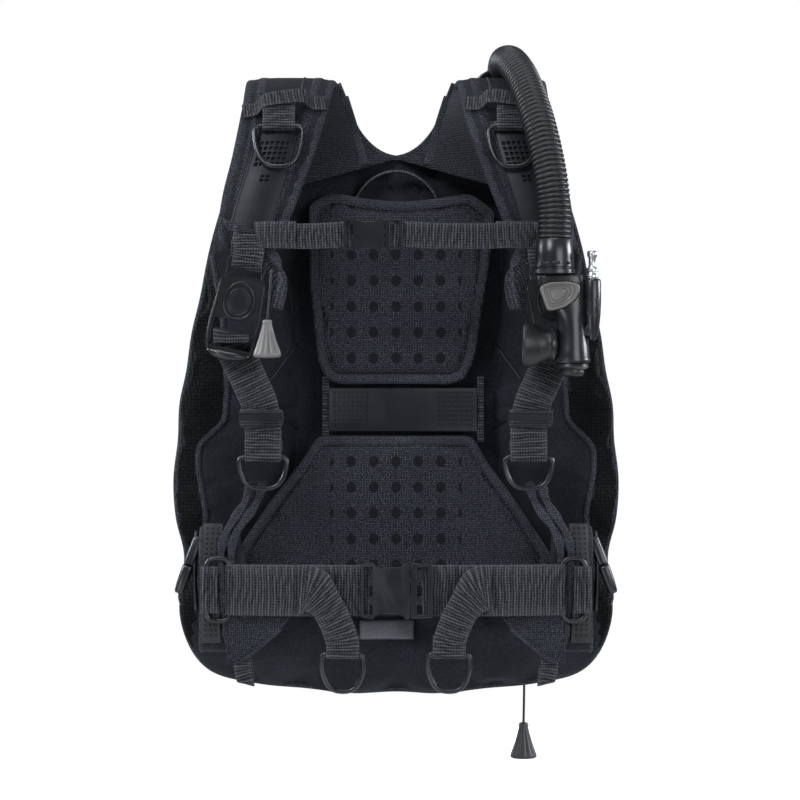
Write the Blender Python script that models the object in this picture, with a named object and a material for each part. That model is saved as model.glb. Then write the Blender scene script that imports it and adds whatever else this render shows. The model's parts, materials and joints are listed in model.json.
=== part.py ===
"""Buoyancy compensator vest for scuba diving, as separate named pieces.

Metres, +Z up. The origin is the centre of the backplate's flat tank-side face, the wearer stands on the
-Y side and looks along -Y, so the wearer's left is +X. Every piece is one closed solid. Pieces whose name
ends in _left or _right are the same design on the wearer's two sides.
"""

import math

import bpy
import bmesh
from mathutils import Matrix, Vector

# ---- driving dimensions -------------------------------------------------------------------------------
GAP = 0.0005                # clearance kept between neighbouring pieces
WRAP = 2.0                  # how hard the back curves round the torso: y falls by WRAP * x squared

PLATE_HALF = 0.072          # backplate half width
PLATE_TOP = 0.150
PLATE_BOTTOM = -0.175
PLATE_THICK = 0.012

HOLE_HALF = 0.084           # opening in the ring-shaped air cell, around the backplate
HOLE_TALL = 0.182
CELL_MIDDLE_Z = -0.0125
CELL_OFFSET = 0.030         # the cell's mid surface sits this far behind the torso curve
CELL_HALF_THICK = 0.031
SHELL_WALL = 0.0018
BLADDER_WALL = 0.0012
# right half of the air cell's outline, from the neck to the bottom hem
CELL_OUTLINE = [(0.0, 0.246), (0.050, 0.268), (0.082, 0.304), (0.122, 0.308), (0.152, 0.268),
                (0.176, 0.205), (0.192, 0.130), (0.208, 0.050), (0.219, -0.030), (0.222, -0.100),
                (0.212, -0.150), (0.218, -0.200), (0.208, -0.245), (0.180, -0.270), (0.110, -0.280),
                (0.0, -0.289)]

HANDLE_Y = -0.0108           # the grab handle stands between the cell and the back pad

PORT_RADIUS = 0.0150
PORT_DEPTH = 0.0140
# valve ports on the cell's back: degrees round the cell, degrees round its section
PORTS = {"elbow": (67, 62), "right_dump": (113, 62), "rear_dump": (-58, 72)}

TANK_RADIUS = 0.092
WEBBING = 0.0020            # webbing thickness
STERNUM_WIDTH = 0.025
SHOULDER_WIDTH = 0.038
WAIST_WIDTH = 0.050
RING_WIRE = 0.0025          # radius of the bent wire of a D-ring

PAD_THICK = 0.012           # shoulder pad
PAD_WIDTH = 0.084
SHOULDER_PLATE_THICK = 0.003
SHOULDER_PLATE_WIDTH = 0.042
# the front of the wearer's left shoulder strap, from the crest down: x, y, z of its middle line
STRAP_LINE = [(0.106, -0.030, 0.3290), (0.108, -0.060, 0.317), (0.113, -0.086, 0.288),
              (0.126, -0.104, 0.240), (0.141, -0.115, 0.190), (0.150, -0.121, 0.145),
              (0.157, -0.126, 0.090), (0.156, -0.128, 0.045), (0.134, -0.128, -0.005),
              (0.130, -0.128, -0.080)]

BUCKLE_TILT = math.radians(12)
BUCKLE_CENTRE = (0.156, -0.132, 0.100)
TONGUE_BAR = 0.0458         # heights of the webbing bars above the buckle's centre
FRAME_BAR = -0.0285
TONGUE_LOOP = 0.0067        # radius of the webbing's turn round each bar
FRAME_LOOP = 0.0052

CHEST_RING = {"bar": 0.276, "width": 0.053, "drop": 0.046}
LOWER_RING = {"bar": -0.046, "width": 0.052, "drop": 0.034}
WAIST_RING = {"x": 0.052, "bar": -0.238, "width": 0.046, "drop": 0.040}

STERNUM_Z = 0.172
STERNUM_Y = -0.152
STERNUM_BUCKLE = 0.058      # length of the closed buckle
WAIST_BUCKLE = 0.070
WAIST_Z = -0.177
BELT_FRONT_Y = -0.150       # the belt's middle, in front of the belly
BELT_SIDE_Y = -0.126
SIDE_BAR_X = 0.163          # inner bar of the ring at each end of the belt

POCKET_X = (0.152, 0.194)   # weight pocket: inner and outer side, lowest and highest, front and back
POCKET_Z = (-0.240, -0.115)
POCKET_Y = (-0.122, -0.092)

HOSE_RADIUS = 0.0147
HOSE_BORE = 0.011
HOSE_RINGS = 85
# the hose's middle line, from the elbow behind the shoulder, over it, to the inflator
HOSE_LINE = [(0.109, 0.062, 0.305), (0.109, 0.053, 0.331), (0.110, 0.022, 0.3495), (0.112, -0.020, 0.3525),
             (0.118, -0.062, 0.346), (0.128, -0.100, 0.325), (0.140, -0.132, 0.286), (0.150, -0.150, 0.240),
             (0.155, -0.159, 0.200), (0.155, -0.160, 0.162)]
CORD_RADIUS = 0.00125
INFLATOR_PIVOT = (0.155, -0.160, 0.195)
INFLATOR_AXIS_X = 0.172     # the inflator body's middle line
BARREL_X = 0.1920           # the low-pressure inlet's middle line

# ---- colours: red, green, blue, roughness, metallic ---------------------------------------------------
FINISHES = {
    "shell_fabric": (0.016, 0.019, 0.028, 0.75, 0.0),
    "bladder_film": (0.030, 0.034, 0.045, 0.45, 0.0),
    "pad_mesh": (0.020, 0.022, 0.030, 0.85, 0.0),
    "strap_fabric": (0.024, 0.027, 0.036, 0.80, 0.0),
    "webbing": (0.013, 0.014, 0.019, 0.70, 0.0),
    "buckle_plastic": (0.009, 0.010, 0.013, 0.38, 0.0),
    "plate_plastic": (0.014, 0.015, 0.019, 0.50, 0.0),
    "rubber": (0.012, 0.013, 0.016, 0.60, 0.0),
    "grey_plastic": (0.220, 0.210, 0.200, 0.50, 0.0),
    "chrome": (0.700, 0.700, 0.720, 0.12, 1.0),
}


# ---- building blocks ----------------------------------------------------------------------------------
def clear_scene():
    for item in list(bpy.data.objects):
        bpy.data.objects.remove(item, do_unlink=True)


def finish_material(slot):
    """The Principled material of one finish, made once and shared."""
    existing = bpy.data.materials.get(slot)
    if existing:
        return existing
    red, green, blue, roughness, metallic = FINISHES[slot]
    material = bpy.data.materials.new(slot)
    material.use_nodes = True
    shader = material.node_tree.nodes["Principled BSDF"]
    shader.inputs["Base Color"].default_value = (red, green, blue, 1.0)
    shader.inputs["Roughness"].default_value = roughness
    shader.inputs["Metallic"].default_value = metallic
    return material


def make_object(name, points, faces, slot):
    """One closed mesh object from points in world coordinates, with its faces turned outwards."""
    mesh = bpy.data.meshes.new(name)
    mesh.from_pydata([tuple(point) for point in points], [], faces)
    work = bmesh.new()
    work.from_mesh(mesh)
    bmesh.ops.recalc_face_normals(work, faces=work.faces)
    work.to_mesh(mesh)
    work.free()
    mesh.materials.append(finish_material(slot))
    piece = bpy.data.objects.new(name, mesh)
    bpy.context.scene.collection.objects.link(piece)
    return piece


def put_origin(piece, origin):
    """Move a piece's origin to a point, such as its joint's axis, without moving the piece."""
    piece.data.transform(Matrix.Translation(-Vector(origin)))
    piece.location = origin


def boolean(piece, tool, operation):
    """Cut a tool from a piece, or join it on, and drop the tool."""
    modifier = piece.modifiers.new(operation, "BOOLEAN")
    modifier.operation = operation
    modifier.solver = "EXACT"
    modifier.object = tool
    bpy.context.view_layer.update()
    shape = bpy.data.meshes.new_from_object(piece.evaluated_get(bpy.context.evaluated_depsgraph_get()))
    piece.modifiers.remove(modifier)
    old = piece.data
    piece.data = shape
    shape.name = old.name
    bpy.data.meshes.remove(old)
    bpy.data.objects.remove(tool, do_unlink=True)


def cut(piece, *tools):
    for tool in tools:
        boolean(piece, tool, "DIFFERENCE")


def join(piece, *tools):
    for tool in tools:
        boolean(piece, tool, "UNION")


def shade_round(piece, degrees=35):
    piece.data.shade_smooth()
    piece.data.set_sharp_from_angle(angle=math.radians(degrees))


def torso_curve(x):
    return -WRAP * x * x


def block(name, low, high, slot, place=Matrix.Identity(4), bevel=0.0):
    """A box between two corners, with rounded edges if bevel is set, then placed by a matrix."""
    work = bmesh.new()
    bmesh.ops.create_cube(work, size=1.0)
    size = [high[i] - low[i] for i in range(3)]
    centre = [(high[i] + low[i]) / 2 for i in range(3)]
    bmesh.ops.scale(work, vec=size, verts=work.verts)
    bmesh.ops.translate(work, vec=centre, verts=work.verts)
    if bevel:
        bmesh.ops.bevel(work, geom=list(work.edges), offset=bevel, segments=2, affect="EDGES", profile=0.5)
    points = [place @ vert.co for vert in work.verts]
    faces = [[vert.index for vert in face.verts] for face in work.faces]
    work.free()
    return make_object(name, points, faces, slot)


def prism(name, outline, low, high, slot, place=Matrix.Identity(4)):
    """A flat outline in X and Z, made solid between two depths along Y."""
    count = len(outline)
    points = [place @ Vector((x, depth, z)) for depth in (low, high) for x, z in outline]
    sides = [(i, (i + 1) % count, count + (i + 1) % count, count + i) for i in range(count)]
    caps = [list(range(count)), list(range(count, 2 * count))]
    return make_object(name, points, sides + caps, slot)


def curved_slab(name, outline, near, far, slot, step=0.016):
    """A padded panel: an outline in X and Z, cut into strips and bent round the torso curve."""
    work = bmesh.new()
    work.faces.new([work.verts.new((x, 0.0, z)) for x, z in outline])
    reach = max(abs(x) for x, _ in outline)
    for index in range(-int(reach / step), int(reach / step) + 1):
        everything = work.verts[:] + work.edges[:] + work.faces[:]
        bmesh.ops.bisect_plane(work, geom=everything, plane_co=(index * step, 0, 0),
                               plane_no=(1, 0, 0), dist=1e-6)
    back = bmesh.ops.extrude_face_region(work, geom=work.faces[:])
    moved = {item for item in back["geom"] if isinstance(item, bmesh.types.BMVert)}
    for vert in work.verts:
        vert.co.y = torso_curve(vert.co.x) + (far if vert in moved else near)
    work.verts.index_update()
    points = [vert.co.copy() for vert in work.verts]
    faces = [[vert.index for vert in face.verts] for face in work.faces]
    work.free()
    return make_object(name, points, faces, slot)


def ribbon(name, path, across, widths, thickness, slot):
    """A strap: a flat section carried along a path; across holds the width direction at each point."""
    path = [Vector(point) for point in path]
    count = len(path)
    across = across if isinstance(across, list) else [across] * count
    widths = widths if isinstance(widths, list) else [widths] * count
    points = []
    for index, centre in enumerate(path):
        ahead = (path[min(index + 1, count - 1)] - centre).normalized()
        behind = (centre - path[max(index - 1, 0)]).normalized()
        tangent = (ahead + behind).normalized()
        mitre = 1.0 / max(0.5, tangent.dot(ahead if ahead.length else behind))
        side = Vector(across[index]) * widths[index] / 2
        normal = side.cross(tangent).normalized() * thickness / 2 * mitre
        points += [centre - side - normal, centre + side - normal, centre + side + normal,
                   centre - side + normal]
    faces = [[4 * i + k, 4 * i + (k + 1) % 4, 4 * i + 4 + (k + 1) % 4, 4 * i + 4 + k]
             for i in range(count - 1) for k in range(4)]
    last = 4 * (count - 1)
    faces += [[0, 1, 2, 3], [last, last + 1, last + 2, last + 3]]
    return make_object(name, points, faces, slot)


def wire(name, path, radius, slot, closed=False, sides=8, plane=None):
    """A round section carried along a path. plane is a direction that the path never follows."""
    path = [Vector(point) for point in path]
    count = len(path)
    radii = radius if isinstance(radius, list) else [radius] * count
    points = []
    for index, centre in enumerate(path):
        if closed:
            tangent = (path[(index + 1) % count] - path[index - 1]).normalized()
        else:
            tangent = (path[min(index + 1, count - 1)] - path[max(index - 1, 0)]).normalized()
        first = Vector(plane).cross(tangent).normalized()
        second = tangent.cross(first)
        for k in range(sides):
            turn = 2 * math.pi * k / sides
            points.append(centre + radii[index] * (math.cos(turn) * first + math.sin(turn) * second))
    spans = count if closed else count - 1
    faces = [[sides * i + k, sides * i + (k + 1) % sides,
              sides * ((i + 1) % count) + (k + 1) % sides, sides * ((i + 1) % count) + k]
             for i in range(spans) for k in range(sides)]
    if not closed:
        faces += [list(range(sides)), list(range(sides * (count - 1), sides * count))]
    piece = make_object(name, points, faces, slot)
    shade_round(piece, 50)
    return piece


def turned(name, profile, slot, place=Matrix.Identity(4), sides=24):
    """A profile of (radius, height) turned about the local Z axis. Radius 0 closes an end."""
    points = []
    rows = []
    for radius, height in profile:
        steps = 1 if radius == 0 else sides
        rows.append(list(range(len(points), len(points) + steps)))
        for k in range(steps):
            turn = 2 * math.pi * k / sides
            points.append(place @ Vector((radius * math.cos(turn), radius * math.sin(turn), height)))
    faces = []
    closed = profile[0][0] > 0 and profile[-1][0] > 0
    pairs = list(zip(rows, rows[1:])) + ([(rows[-1], rows[0])] if closed else [])
    for lower, upper in pairs:
        for k in range(sides):
            corners = [lower[k % len(lower)], lower[(k + 1) % len(lower)],
                       upper[(k + 1) % len(upper)], upper[k % len(upper)]]
            faces.append(list(dict.fromkeys(corners)))
    piece = make_object(name, points, faces, slot)
    shade_round(piece)
    return piece


# ---- the air cell ---------------------------------------------------------------------------------------
def cell_reach(turn):
    """Distance from the cell's centre to its outline in one direction, the same on both sides."""
    level = math.atan2(math.sin(turn), abs(math.cos(turn)))
    corners = [(math.atan2(z - CELL_MIDDLE_Z, x), math.hypot(x, z - CELL_MIDDLE_Z)) for x, z in CELL_OUTLINE]
    for (high, far), (low, near) in zip(corners, corners[1:]):
        if low <= level <= high:
            share = (high - level) / (high - low)
            return far + (near - far) * share
    return corners[-1][1]


def cell_point(turn, swing, inset=0.0):
    """A point of the ring-shaped cell: turn goes round the ring, swing round its section."""
    hole = (abs(math.cos(turn) / HOLE_HALF) ** 4 + abs(math.sin(turn) / HOLE_TALL) ** 4) ** -0.25
    reach = cell_reach(turn)
    radius = (hole + reach) / 2 + ((reach - hole) / 2 - inset) * math.cos(swing)
    x = radius * math.cos(turn)
    depth = CELL_OFFSET + (CELL_HALF_THICK - inset) * math.sin(swing)
    return Vector((x, torso_curve(x) + depth, CELL_MIDDLE_Z + radius * math.sin(turn)))


def cell_surface(inset, around=38, section=10):
    """Points and faces of the ring-shaped cell, shrunk by an inset on every side."""
    points = [cell_point(2 * math.pi * (i + 0.5) / around, 2 * math.pi * j / section, inset)
              for i in range(around) for j in range(section)]
    faces = [[section * i + j, section * i + (j + 1) % section,
              section * ((i + 1) % around) + (j + 1) % section, section * ((i + 1) % around) + j]
             for i in range(around) for j in range(section)]
    return points, faces


def port_place(turn_degrees, swing_degrees):
    """The frame of a valve port on the cell's back: local Z points out of the cell."""
    turn = math.radians(turn_degrees)
    swing = math.radians(swing_degrees)
    centre = cell_point(turn, swing)
    along = cell_point(turn + 0.02, swing) - centre
    over = cell_point(turn, swing + 0.02) - centre
    out = along.cross(over).normalized()
    out = out if out.y > 0 else -out
    side = Vector((0, 0, 1)).cross(out).normalized()
    up = out.cross(side)
    return Matrix.Translation(centre) @ Matrix((side, up, out)).transposed().to_4x4()


def hollow_cell(name, inset, wall, slot):
    """A hollow skin of the air cell, opened at its valve ports."""
    piece = make_object(name, *cell_surface(inset), slot)
    cut(piece, make_object(name + "_inside", *cell_surface(inset + wall), slot))
    for port in PORTS.values():
        drill = [(0, -PORT_DEPTH), (PORT_RADIUS, -PORT_DEPTH), (PORT_RADIUS, PORT_DEPTH), (0, PORT_DEPTH)]
        cut(piece, turned("port", drill, slot, port_place(*port)))
    shade_round(piece, 60)


def make_air_cell():
    hollow_cell("outer_shell", 0.0, SHELL_WALL, "shell_fabric")
    hollow_cell("air_bladder", SHELL_WALL + 0.0032, BLADDER_WALL, "bladder_film")


# ---- backplate, pads and tank band ----------------------------------------------------------------------
def make_backplate():
    outline = [(-0.050, PLATE_TOP), (-0.020, PLATE_TOP - 0.006), (0.020, PLATE_TOP - 0.006), (0.050, PLATE_TOP),
               (PLATE_HALF, PLATE_TOP - 0.030), (PLATE_HALF - 0.006, 0.0), (PLATE_HALF, PLATE_BOTTOM + 0.030),
               (0.052, PLATE_BOTTOM), (-0.052, PLATE_BOTTOM), (-PLATE_HALF, PLATE_BOTTOM + 0.030),
               (-PLATE_HALF + 0.006, 0.0), (-PLATE_HALF, PLATE_TOP - 0.030)]
    plate = prism("backplate", outline, -PLATE_THICK, 0.0, "plate_plastic")
    for x in (-1, 1):
        cut(plate, block("slot", (x * 0.054 - 0.004, -0.02, 0.022), (x * 0.054 + 0.004, 0.01, 0.078), "webbing"))
    for x in (-0.022, 0.022):
        cut(plate, block("window", (x - 0.012, -0.02, -0.13), (x + 0.012, 0.01, -0.05), "webbing"))


def make_carry_handle():
    """A grab loop of webbing that stands up behind the neck, between the shoulder pads."""
    path = [Vector((0.046 * math.cos(turn), HANDLE_Y, 0.190 + 0.052 * math.sin(turn)))
            for turn in [math.pi * step / 12 for step in range(13)]]
    path = [Vector((0.046, HANDLE_Y, 0.154))] + path + [Vector((-0.046, HANDLE_Y, 0.154))]
    ribbon("carry_handle", path, (0, 1, 0), 0.012, WEBBING, "webbing")


def make_tank_band():
    """Band webbing: through the backplate's slots and round the tank, with its cam buckle and lever."""
    radius = TANK_RADIUS + WEBBING / 2 + GAP
    front = -PLATE_THICK - GAP - WEBBING / 2
    centre = TANK_RADIUS + 0.001
    start = math.radians(-56)
    loop = []
    for step in range(25):
        turn = start + (math.pi - 2 * start) * step / 24
        loop.append((radius * math.cos(turn), centre + radius * math.sin(turn), 0.050))
    path = [(0.030, front, 0.050), (0.0525, front, 0.050), (0.0545, -0.004, 0.050)] + loop
    path += [(-0.0545, -0.004, 0.050), (-0.0525, front, 0.050), (-0.030, front, 0.050)]
    ribbon("tank_band", path, (0, 0, 1), 0.050, WEBBING, "webbing")
    out = radius + WEBBING / 2 + GAP
    frame = block("cam_buckle", (out, centre - 0.030, 0.018), (out + 0.006, centre + 0.030, 0.082),
                  "buckle_plastic", bevel=0.0015)
    ears = [block("ear", (out + 0.004, centre - 0.026, z - 0.003), (out + 0.022, centre - 0.006, z + 0.003),
                  "buckle_plastic") for z in (0.022, 0.078)]
    join(frame, *ears)
    lever = block("cam_lever", (out + 0.0085, centre - 0.020, 0.0256), (out + 0.0190, centre + 0.052, 0.0744),
                  "buckle_plastic", bevel=0.002)
    put_origin(lever, (out + 0.0145, centre - 0.016, 0.050))


def make_pads():
    upper = [(-0.088, 0.208), (-0.066, 0.220), (-0.030, 0.214), (0.006, 0.211), (0.040, 0.214), (0.076, 0.219),
             (0.100, 0.200), (0.094, 0.140), (0.080, 0.050), (0.070, 0.030), (0.058, 0.0252), (-0.060, 0.0252),
             (-0.072, 0.030), (-0.080, 0.050), (-0.088, 0.130)]
    curved_slab("upper_back_pad", upper, -0.034, -0.0175, "pad_mesh")
    band = [(-0.068, 0.0225), (0.082, 0.0225), (0.082, -0.0220), (-0.068, -0.0220)]
    curved_slab("centre_band", band, -0.030, -0.0175, "plate_plastic")
    lumbar = [(-0.080, -0.0250), (0.078, -0.0250), (0.092, -0.050), (0.128, -0.100), (0.156, -0.145),
              (0.150, -0.198), (-0.150, -0.198), (-0.162, -0.145), (-0.130, -0.095), (-0.094, -0.048)]
    curved_slab("lumbar_pad", lumbar, -0.036, -0.0175, "pad_mesh")


# ---- shoulder straps --------------------------------------------------------------------------------------
def strap_point(side, z, lift):
    """A point of the strap's middle line at a height, lifted off it towards the wearer."""
    for (x1, y1, z1), (x2, y2, z2) in zip(STRAP_LINE, STRAP_LINE[1:]):
        if z2 <= z <= z1:
            share = (z1 - z) / (z1 - z2)
            slope = Vector((0, y2 - y1, z2 - z1)).normalized()
            out = Vector((0, slope.z, -slope.y))
            return Vector((side * (x1 + (x2 - x1) * share), y1 + (y2 - y1) * share, z)) + out * lift
    raise ValueError("height is off the strap")


def heights(top, bottom, count):
    return [top + (bottom - top) * step / (count - 1) for step in range(count)]


def bar_loop(centre, radius, front=True, steps=7):
    """Half a turn of webbing under a bar that lies along X, from behind it to its front."""
    points = []
    for step in range(steps):
        turn = math.pi * step / (steps - 1)
        points.append(Vector(centre) + Vector((0, radius * math.cos(turn), -radius * math.sin(turn))))
    return points if front else points[::-1]


def d_ring(name, centre, width, drop, slope):
    """A bent wire ring with its straight bar on top. slope is its direction down from the bar."""
    half = width / 2 - RING_WIRE
    down = Vector(slope).normalized()
    centre = Vector(centre)
    path = [centre + Vector((half * k, 0, 0)) for k in (0.8, 0.0, -0.8)]
    for step in range(13):
        turn = math.pi + math.pi * step / 12
        path.append(centre + Vector((half * math.cos(turn), 0, 0))
                    + down * (0.0022 - (drop - 2 * RING_WIRE) * math.sin(turn)))
    ring = wire(name, path, RING_WIRE, "buckle_plastic", closed=True, sides=6,
                plane=Vector((1, 0, 0)).cross(down))
    put_origin(ring, centre)
    return ring


TAB_LIFT = PAD_THICK / 2 + SHOULDER_PLATE_THICK + 3 * GAP + WEBBING / 2
LOOP_RADIUS = RING_WIRE + GAP + WEBBING / 2


def make_shoulder(side, word):
    """One shoulder: the pad, its moulded plate, the chest ring on its tab, and the strap below it."""
    behind = [(side * 0.102, 0.030, 0.315), (side * 0.103, 0.018, 0.3235), (side * 0.104, 0.000, 0.3285)]
    path = behind + [strap_point(side, z, 0) for z in (0.329, 0.317, 0.300, 0.270, 0.240, 0.205, 0.175, 0.158)]
    widths = [0.080, PAD_WIDTH, PAD_WIDTH + 0.004, PAD_WIDTH + 0.004, PAD_WIDTH + 0.002, PAD_WIDTH, 0.078, 0.072,
              0.068, 0.056, 0.038]
    shade_round(ribbon("shoulder_pad_" + word, path, (1, 0, 0), widths, PAD_THICK, "strap_fabric"), 50)

    plate_lift = PAD_THICK / 2 + GAP + SHOULDER_PLATE_THICK / 2
    line = [strap_point(side, z, plate_lift) for z in heights(0.284, 0.176, 6)]
    ribbon("shoulder_plate_" + word, line, (1, 0, 0), SHOULDER_PLATE_WIDTH, SHOULDER_PLATE_THICK, "plate_plastic")

    bar = strap_point(side, CHEST_RING["bar"], TAB_LIFT + LOOP_RADIUS)
    slope = strap_point(side, 0.250, 0) - strap_point(side, 0.276, 0)
    slope.x = 0
    d_ring("chest_ring_" + word, bar, CHEST_RING["width"], CHEST_RING["drop"], slope)
    tab = [strap_point(side, z, TAB_LIFT) for z in (0.304, 0.290)] + bar_loop(bar, LOOP_RADIUS)
    tab.append(strap_point(side, 0.290, TAB_LIFT + 2 * LOOP_RADIUS))
    for point in tab:
        point.x = bar.x
    ribbon("chest_ring_tab_" + word, tab, (1, 0, 0), SHOULDER_WIDTH, WEBBING, "webbing")

    place = buckle_place(side)
    slant = tuple(place.to_3x3() @ Vector((1, 0, 0)))
    hole = place @ Vector((0, -0.0005, TONGUE_BAR))
    upper = [strap_point(side, z, TAB_LIFT - 0.0010) for z in (0.173, 0.160)]
    upper += bar_loop(hole, TONGUE_LOOP)
    upper.append(hole + Vector((-side * 0.002, -TONGUE_LOOP, 0.012)))
    ribbon("shoulder_webbing_" + word, upper, slant, 0.030, WEBBING, "webbing")


def buckle_place(side):
    """The shoulder buckle's frame: local X across it, local Z up it, local -Y towards the wearer."""
    x, y, z = BUCKLE_CENTRE
    return Matrix.Translation((side * x, y, z)) @ Matrix.Rotation(-side * BUCKLE_TILT, 4, "Y")


def make_shoulder_buckle(side, word):
    place = buckle_place(side)
    tongue = block("shoulder_buckle_tongue_" + word, (-0.0190, -0.0035, -0.0060), (0.0190, 0.0025, 0.0500),
                   "buckle_plastic", place, bevel=0.0010)
    cut(tongue, block("slot", (-0.0165, -0.02, 0.0330), (0.0165, 0.02, 0.0415), "webbing", place))
    frame = block("shoulder_buckle_frame_" + word, (-0.0255, -0.0060, -0.0520), (0.0255, 0.0060, 0.0300),
                  "buckle_plastic", place, bevel=0.0015)
    cut(frame,
        block("pocket", (-0.0196, -0.02, -0.0066), (0.0196, 0.0031, 0.06), "webbing", place),
        block("slot", (-0.0205, -0.02, FRAME_BAR + 0.0025), (0.0205, 0.02, -0.0120), "webbing", place),
        block("slot", (-0.0205, -0.02, -0.0450), (0.0205, 0.02, FRAME_BAR - 0.0025), "webbing", place),
        block("relief", (-0.0200, -0.02, -0.0440), (0.0200, -0.0025, -0.0130), "webbing", place),
        block("relief", (-0.0199, 0.0025, -0.0435), (0.0199, 0.02, -0.0135), "webbing", place),
        block("relief", (-0.0202, -0.02, -0.0600), (0.0202, -0.0005, -0.0430), "webbing", place))
    put_origin(frame, place.translation)


def make_lower_strap(side, word):
    """The strap under the shoulder buckle, with its ladder lock and the ring at its lower end."""
    place = buckle_place(side)
    bar = place @ Vector((0, 0, FRAME_BAR))
    over = [Vector((p.x, p.y, 2 * bar.z - p.z)) for p in bar_loop(bar, FRAME_LOOP)]
    ring = Vector((side * 0.131, -0.1290, LOWER_RING["bar"]))
    path = [bar + Vector((0, FRAME_LOOP, -0.009))] + over
    path += [bar + Vector((side * 0.001, -FRAME_LOOP - 0.0036, -0.016)), Vector((side * 0.146, -0.1390, 0.034)),
             Vector((side * 0.1335, -0.1340, 0.004)), Vector((side * 0.131, ring.y - LOOP_RADIUS, -0.030))]
    path += bar_loop(ring, LOOP_RADIUS, front=False)
    path += [ring + Vector((0, LOOP_RADIUS, 0.010)), Vector((side * 0.131, -0.105, -0.030)),
             Vector((side * 0.131, -0.064, -0.040))]
    slant = tuple(place.to_3x3() @ Vector((1, 0, 0)))
    across = [slant] * 9 + [(1, 0, 0)] * (len(path) - 9)
    ribbon("lower_webbing_" + word, path, across, SHOULDER_WIDTH - 0.002, WEBBING, "webbing")
    d_ring("lower_ring_" + word, ring, LOWER_RING["width"], LOWER_RING["drop"], (0, 0, -1))
    lock = block("ladder_lock_" + word, (side * 0.1325 - 0.0215, -0.1385, -0.0170),
                 (side * 0.1325 + 0.0215, -0.1300, 0.0000), "buckle_plastic", bevel=0.0015)
    cut(lock, block("throat", (side * 0.1325 - 0.0190, -0.1370, -0.05), (side * 0.1325 + 0.0190, -0.1312, 0.05),
                    "webbing"))


# ---- belts and their buckles --------------------------------------------------------------------------------
def release_buckle(name, centre, length, width, thick):
    """A side-release buckle: the socket on the wearer's right, the prongs on the left, along X."""
    x, y, z = centre
    slim = thick * 0.5
    wall = thick * 0.25 - GAP
    socket = block(name + "_socket", (x - length / 2, y - thick / 2, z - width / 2),
                   (x + length * 0.05, y + thick / 2, z + width / 2), "buckle_plastic", bevel=thick * 0.12)
    mouth = block("mouth", (x - length * 0.30, y - thick / 2 + wall, z - width * 0.36),
                  (x + length, y + thick / 2 - wall, z + width * 0.36), "webbing")
    window = block("window", (x - length * 0.24, y - thick / 2 + wall, z - width),
                   (x - length * 0.06, y + thick / 2 - wall, z + width), "webbing")
    throat = block("throat", (x - length, y - WEBBING * 1.25, z - width * 0.47),
                   (x - length * 0.38, y + WEBBING * 1.25, z + width * 0.47), "webbing")
    cut(socket, mouth, window, throat)
    base = x + length * 0.07
    finger = width * 0.085
    outline = [(x + length / 2, width * 0.5), (base, width * 0.5), (base, width * 0.34),
               (x - length * 0.22, width * 0.34), (x - length * 0.24, width * 0.30),
               (x - length * 0.20, width * 0.34 - finger * 2), (base, width * 0.34 - finger * 2),
               (base, width * 0.08), (x - length * 0.24, width * 0.08)]
    mirrored = [(px, -pz) for px, pz in reversed(outline)]
    outline = [(px, pz + z) for px, pz in outline + mirrored]
    prongs = prism(name + "_prongs", outline, y - slim / 2, y + slim / 2, "buckle_plastic")
    join(prongs, block("grip", (base + 0.0004, y - thick / 2, z - width * 0.499),
                       (x + length * 0.499, y + thick / 2, z + width * 0.499), "buckle_plastic"))
    cut(prongs, block("throat", (x + length * 0.36, y - WEBBING * 1.25, z - width * 0.47),
                      (x + length, y + WEBBING * 1.25, z + width * 0.47), "webbing"))
    put_origin(prongs, (base, y, z))


def make_sternum_strap():
    centre = (-0.022, STERNUM_Y, STERNUM_Z)
    release_buckle("sternum_buckle", centre, STERNUM_BUCKLE, 0.032, 0.011)
    for side, word in ((1, "left"), (-1, "right")):
        near = centre[0] + side * STERNUM_BUCKLE * 0.42
        far = side * 0.136
        path = []
        for step in range(9):
            x = near + (far - near) * step / 8
            path.append((x, STERNUM_Y + 0.60 * max(0.0, abs(x) - 0.055) ** 1.4, STERNUM_Z))
        ribbon("sternum_webbing_" + word, path, (0, 0, 1), STERNUM_WIDTH, WEBBING, "webbing")


def belt_y(x, front):
    return front + (BELT_SIDE_Y - BELT_FRONT_Y) * (x / 0.160) ** 2


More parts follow.
